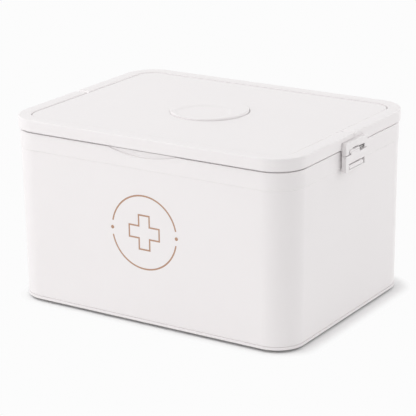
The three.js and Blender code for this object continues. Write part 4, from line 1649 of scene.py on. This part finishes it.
def pale_floor():
    """Wide matt floor with a grey shadow painted under the box, that runs out into the backdrop's white near
    it.
    """
    studio = settings("studio")
    clear_selection()
    bpy.ops.mesh.primitive_circle_add(vertices=ROUND_SIDES, radius=FLOOR_RADIUS, fill_type="NGON")
    floor = settle(bpy.context.object, "floor")
    finish = Finish("floor_paint")
    patches = [PATCH_SHARE * value for value in studio.floor]
    finish.shader.inputs["Roughness"].default_value = 0.9
    finish.shader.inputs["Specular IOR Level"].default_value = 0.1
    parts = finish.add("ShaderNodeSeparateXYZ")
    finish.link(finish.places, parts.inputs["Vector"])
    corner = settings("rim").corner - base_inset()

    def beyond_base(lean, start, end):
        """Share of the way between two distances from the base's outline."""
        squares = []
        for axis, half in (("X", HALF_LENGTH), ("Y", HALF_DEPTH)):
            place = finish.math("SUBTRACT", parts.outputs[axis], lean)
            straight = half - settings("rim").corner
            beyond = finish.math("SUBTRACT", finish.math("ABSOLUTE", place), straight)
            outside = finish.math("MAXIMUM", beyond, 0.0)
            squares.append(finish.math("MULTIPLY", outside, outside))
        away = finish.math("SUBTRACT", finish.math("SQRT", finish.math("ADD", *squares)), corner)
        spread = finish.add("ShaderNodeMapRange", interpolation_type="SMOOTHSTEP")
        spread.inputs["From Min"].default_value = start
        spread.inputs["From Max"].default_value = end
        finish.link(away, spread.inputs["Value"])
        return spread.outputs["Result"]

    pale = finish.mix(finish.noise(scale=3), studio.floor, patches)
    # Painted shadow: the floor's colour turns grey inside the base's outline and fades back to white over a
    # narrow edge
    finish.colour(finish.mix(beyond_base(0.0, -studio.painted_shadow_edge, 0.0), studio.painted_shadow, pale))
    white = finish.add("ShaderNodeEmission")
    white.inputs["Color"].default_value = (*studio.backdrop, 1)
    blend = finish.add("ShaderNodeMixShader")
    white_share = beyond_base(studio.floor_lean, 0.0, studio.floor_reach)
    share = finish.math("MULTIPLY", white_share, seen_directly(finish.tree))
    finish.link(share, blend.inputs["Fac"])
    finish.link(finish.shader.outputs["BSDF"], blend.inputs[1])
    finish.link(white.outputs["Emission"], blend.inputs[2])
    finish.link(blend.outputs["Shader"], finish.tree.nodes["Material Output"].inputs["Surface"])
    floor.data.materials.append(finish.material)


def soft_light(name, place, size, power, reflected=True):
    """Large square light that faces the middle of the box, and may be left out of reflections."""
    clear_selection()
    aim = Vector((0, 0, RIM_TOP / 2))
    turn = (aim - Vector(place)).to_track_quat("-Z", "Y").to_euler()
    bpy.ops.object.light_add(type="AREA", location=place, rotation=turn)
    light = bpy.context.object
    light.name = name
    light.data.shape = "SQUARE"
    light.data.size = size
    light.data.energy = power
    light.visible_glossy = reflected
    return light


def studio_camera():
    studio = settings("studio")
    azimuth, elevation = studio.azimuth, studio.elevation
    back = Vector((math.sin(azimuth) * math.cos(elevation),
                   -math.cos(azimuth) * math.cos(elevation), math.sin(elevation)))
    level = Vector((math.cos(azimuth), math.sin(azimuth), 0))
    right = level * math.cos(studio.roll) + back.cross(level) * math.sin(studio.roll)
    up = back.cross(right)
    aim = -level * studio.aside + Vector((0, 0, studio.aim_height))
    clear_selection()
    bpy.ops.object.camera_add(location=aim + back * studio.distance)
    camera = bpy.context.object
    camera.name = "studio_camera"
    camera.rotation_mode = "QUATERNION"
    camera.rotation_quaternion = Matrix((right, up, back)).transposed().to_quaternion()
    camera.data.sensor_width = SENSOR_WIDTH
    camera.data.lens = studio.lens
    camera.data.clip_end = SIGHT
    bpy.context.scene.camera = camera


class STORAGEBOX_OT_stage(bpy.types.Operator):
    """Set up the pale floor, the white surroundings, the soft lights and the camera"""
    bl_idname = "storage_box.stage"
    bl_label = "Stage"

    def execute(self, context):
        studio = settings("studio")
        context.scene.view_settings.view_transform = "Standard"
        pale_world()
        pale_floor()
        soft_light("key_light", place=(-1.15, -0.68, 1.84), size=1.1, power=studio.key)
        soft_light("front_light", place=(-0.75, -2.1, 0.75), size=1.5, power=studio.front, reflected=False)
        soft_light("left_light", place=(-1.95, 0.15, 0.75), size=1.1, power=studio.side)
        soft_light("right_light", place=(1.72, 1.15, 1.03), size=1.8, power=studio.fill, reflected=False)
        soft_light("back_light", place=(0.68, 1.75, 1.24), size=1.4, power=studio.back)
        studio_camera()
        return {"FINISHED"}


STEPS = (
    STORAGEBOX_OT_tub,
    STORAGEBOX_OT_lid_rim,
    STORAGEBOX_OT_lid_panel,
    STORAGEBOX_OT_well,
    STORAGEBOX_OT_cap,
    STORAGEBOX_OT_seal,
    STORAGEBOX_OT_handle,
    STORAGEBOX_OT_pins,
    STORAGEBOX_OT_latches,
    STORAGEBOX_OT_tray,
    STORAGEBOX_OT_dividers,
    STORAGEBOX_OT_stage,
)


class STORAGEBOX_PT_panel(bpy.types.Panel):
    """Steps and settings of the storage box"""
    bl_idname = "STORAGEBOX_PT_panel"
    bl_label = "Storage Box"
    bl_space_type = "VIEW_3D"
    bl_region_type = "UI"
    bl_category = "Storage Box"

    def draw(self, context):
        for step in STEPS:
            self.layout.operator(step.bl_idname)
        for group, kind in GROUPS.items():
            box = self.layout.box()
            box.label(text=group.capitalize())
            for name in kind.__annotations__:
                box.prop(settings(group), name)


def register():
    for group, kind in GROUPS.items():
        bpy.utils.register_class(kind)
        setattr(bpy.types.Scene, "storage_box_" + group, bpy.props.PointerProperty(type=kind))
    for step in STEPS:
        bpy.utils.register_class(step)
    bpy.utils.register_class(STORAGEBOX_PT_panel)


def unregister():
    bpy.utils.unregister_class(STORAGEBOX_PT_panel)
    for step in reversed(STEPS):
        bpy.utils.unregister_class(step)
    for group, kind in reversed(list(GROUPS.items())):
        delattr(bpy.types.Scene, "storage_box_" + group)
        bpy.utils.unregister_class(kind)


def main():
    register()
    for step in STEPS:
        family, name = step.bl_idname.split(".")
        getattr(getattr(bpy.ops, family), name)()


if __name__ == "__main__":
    main()
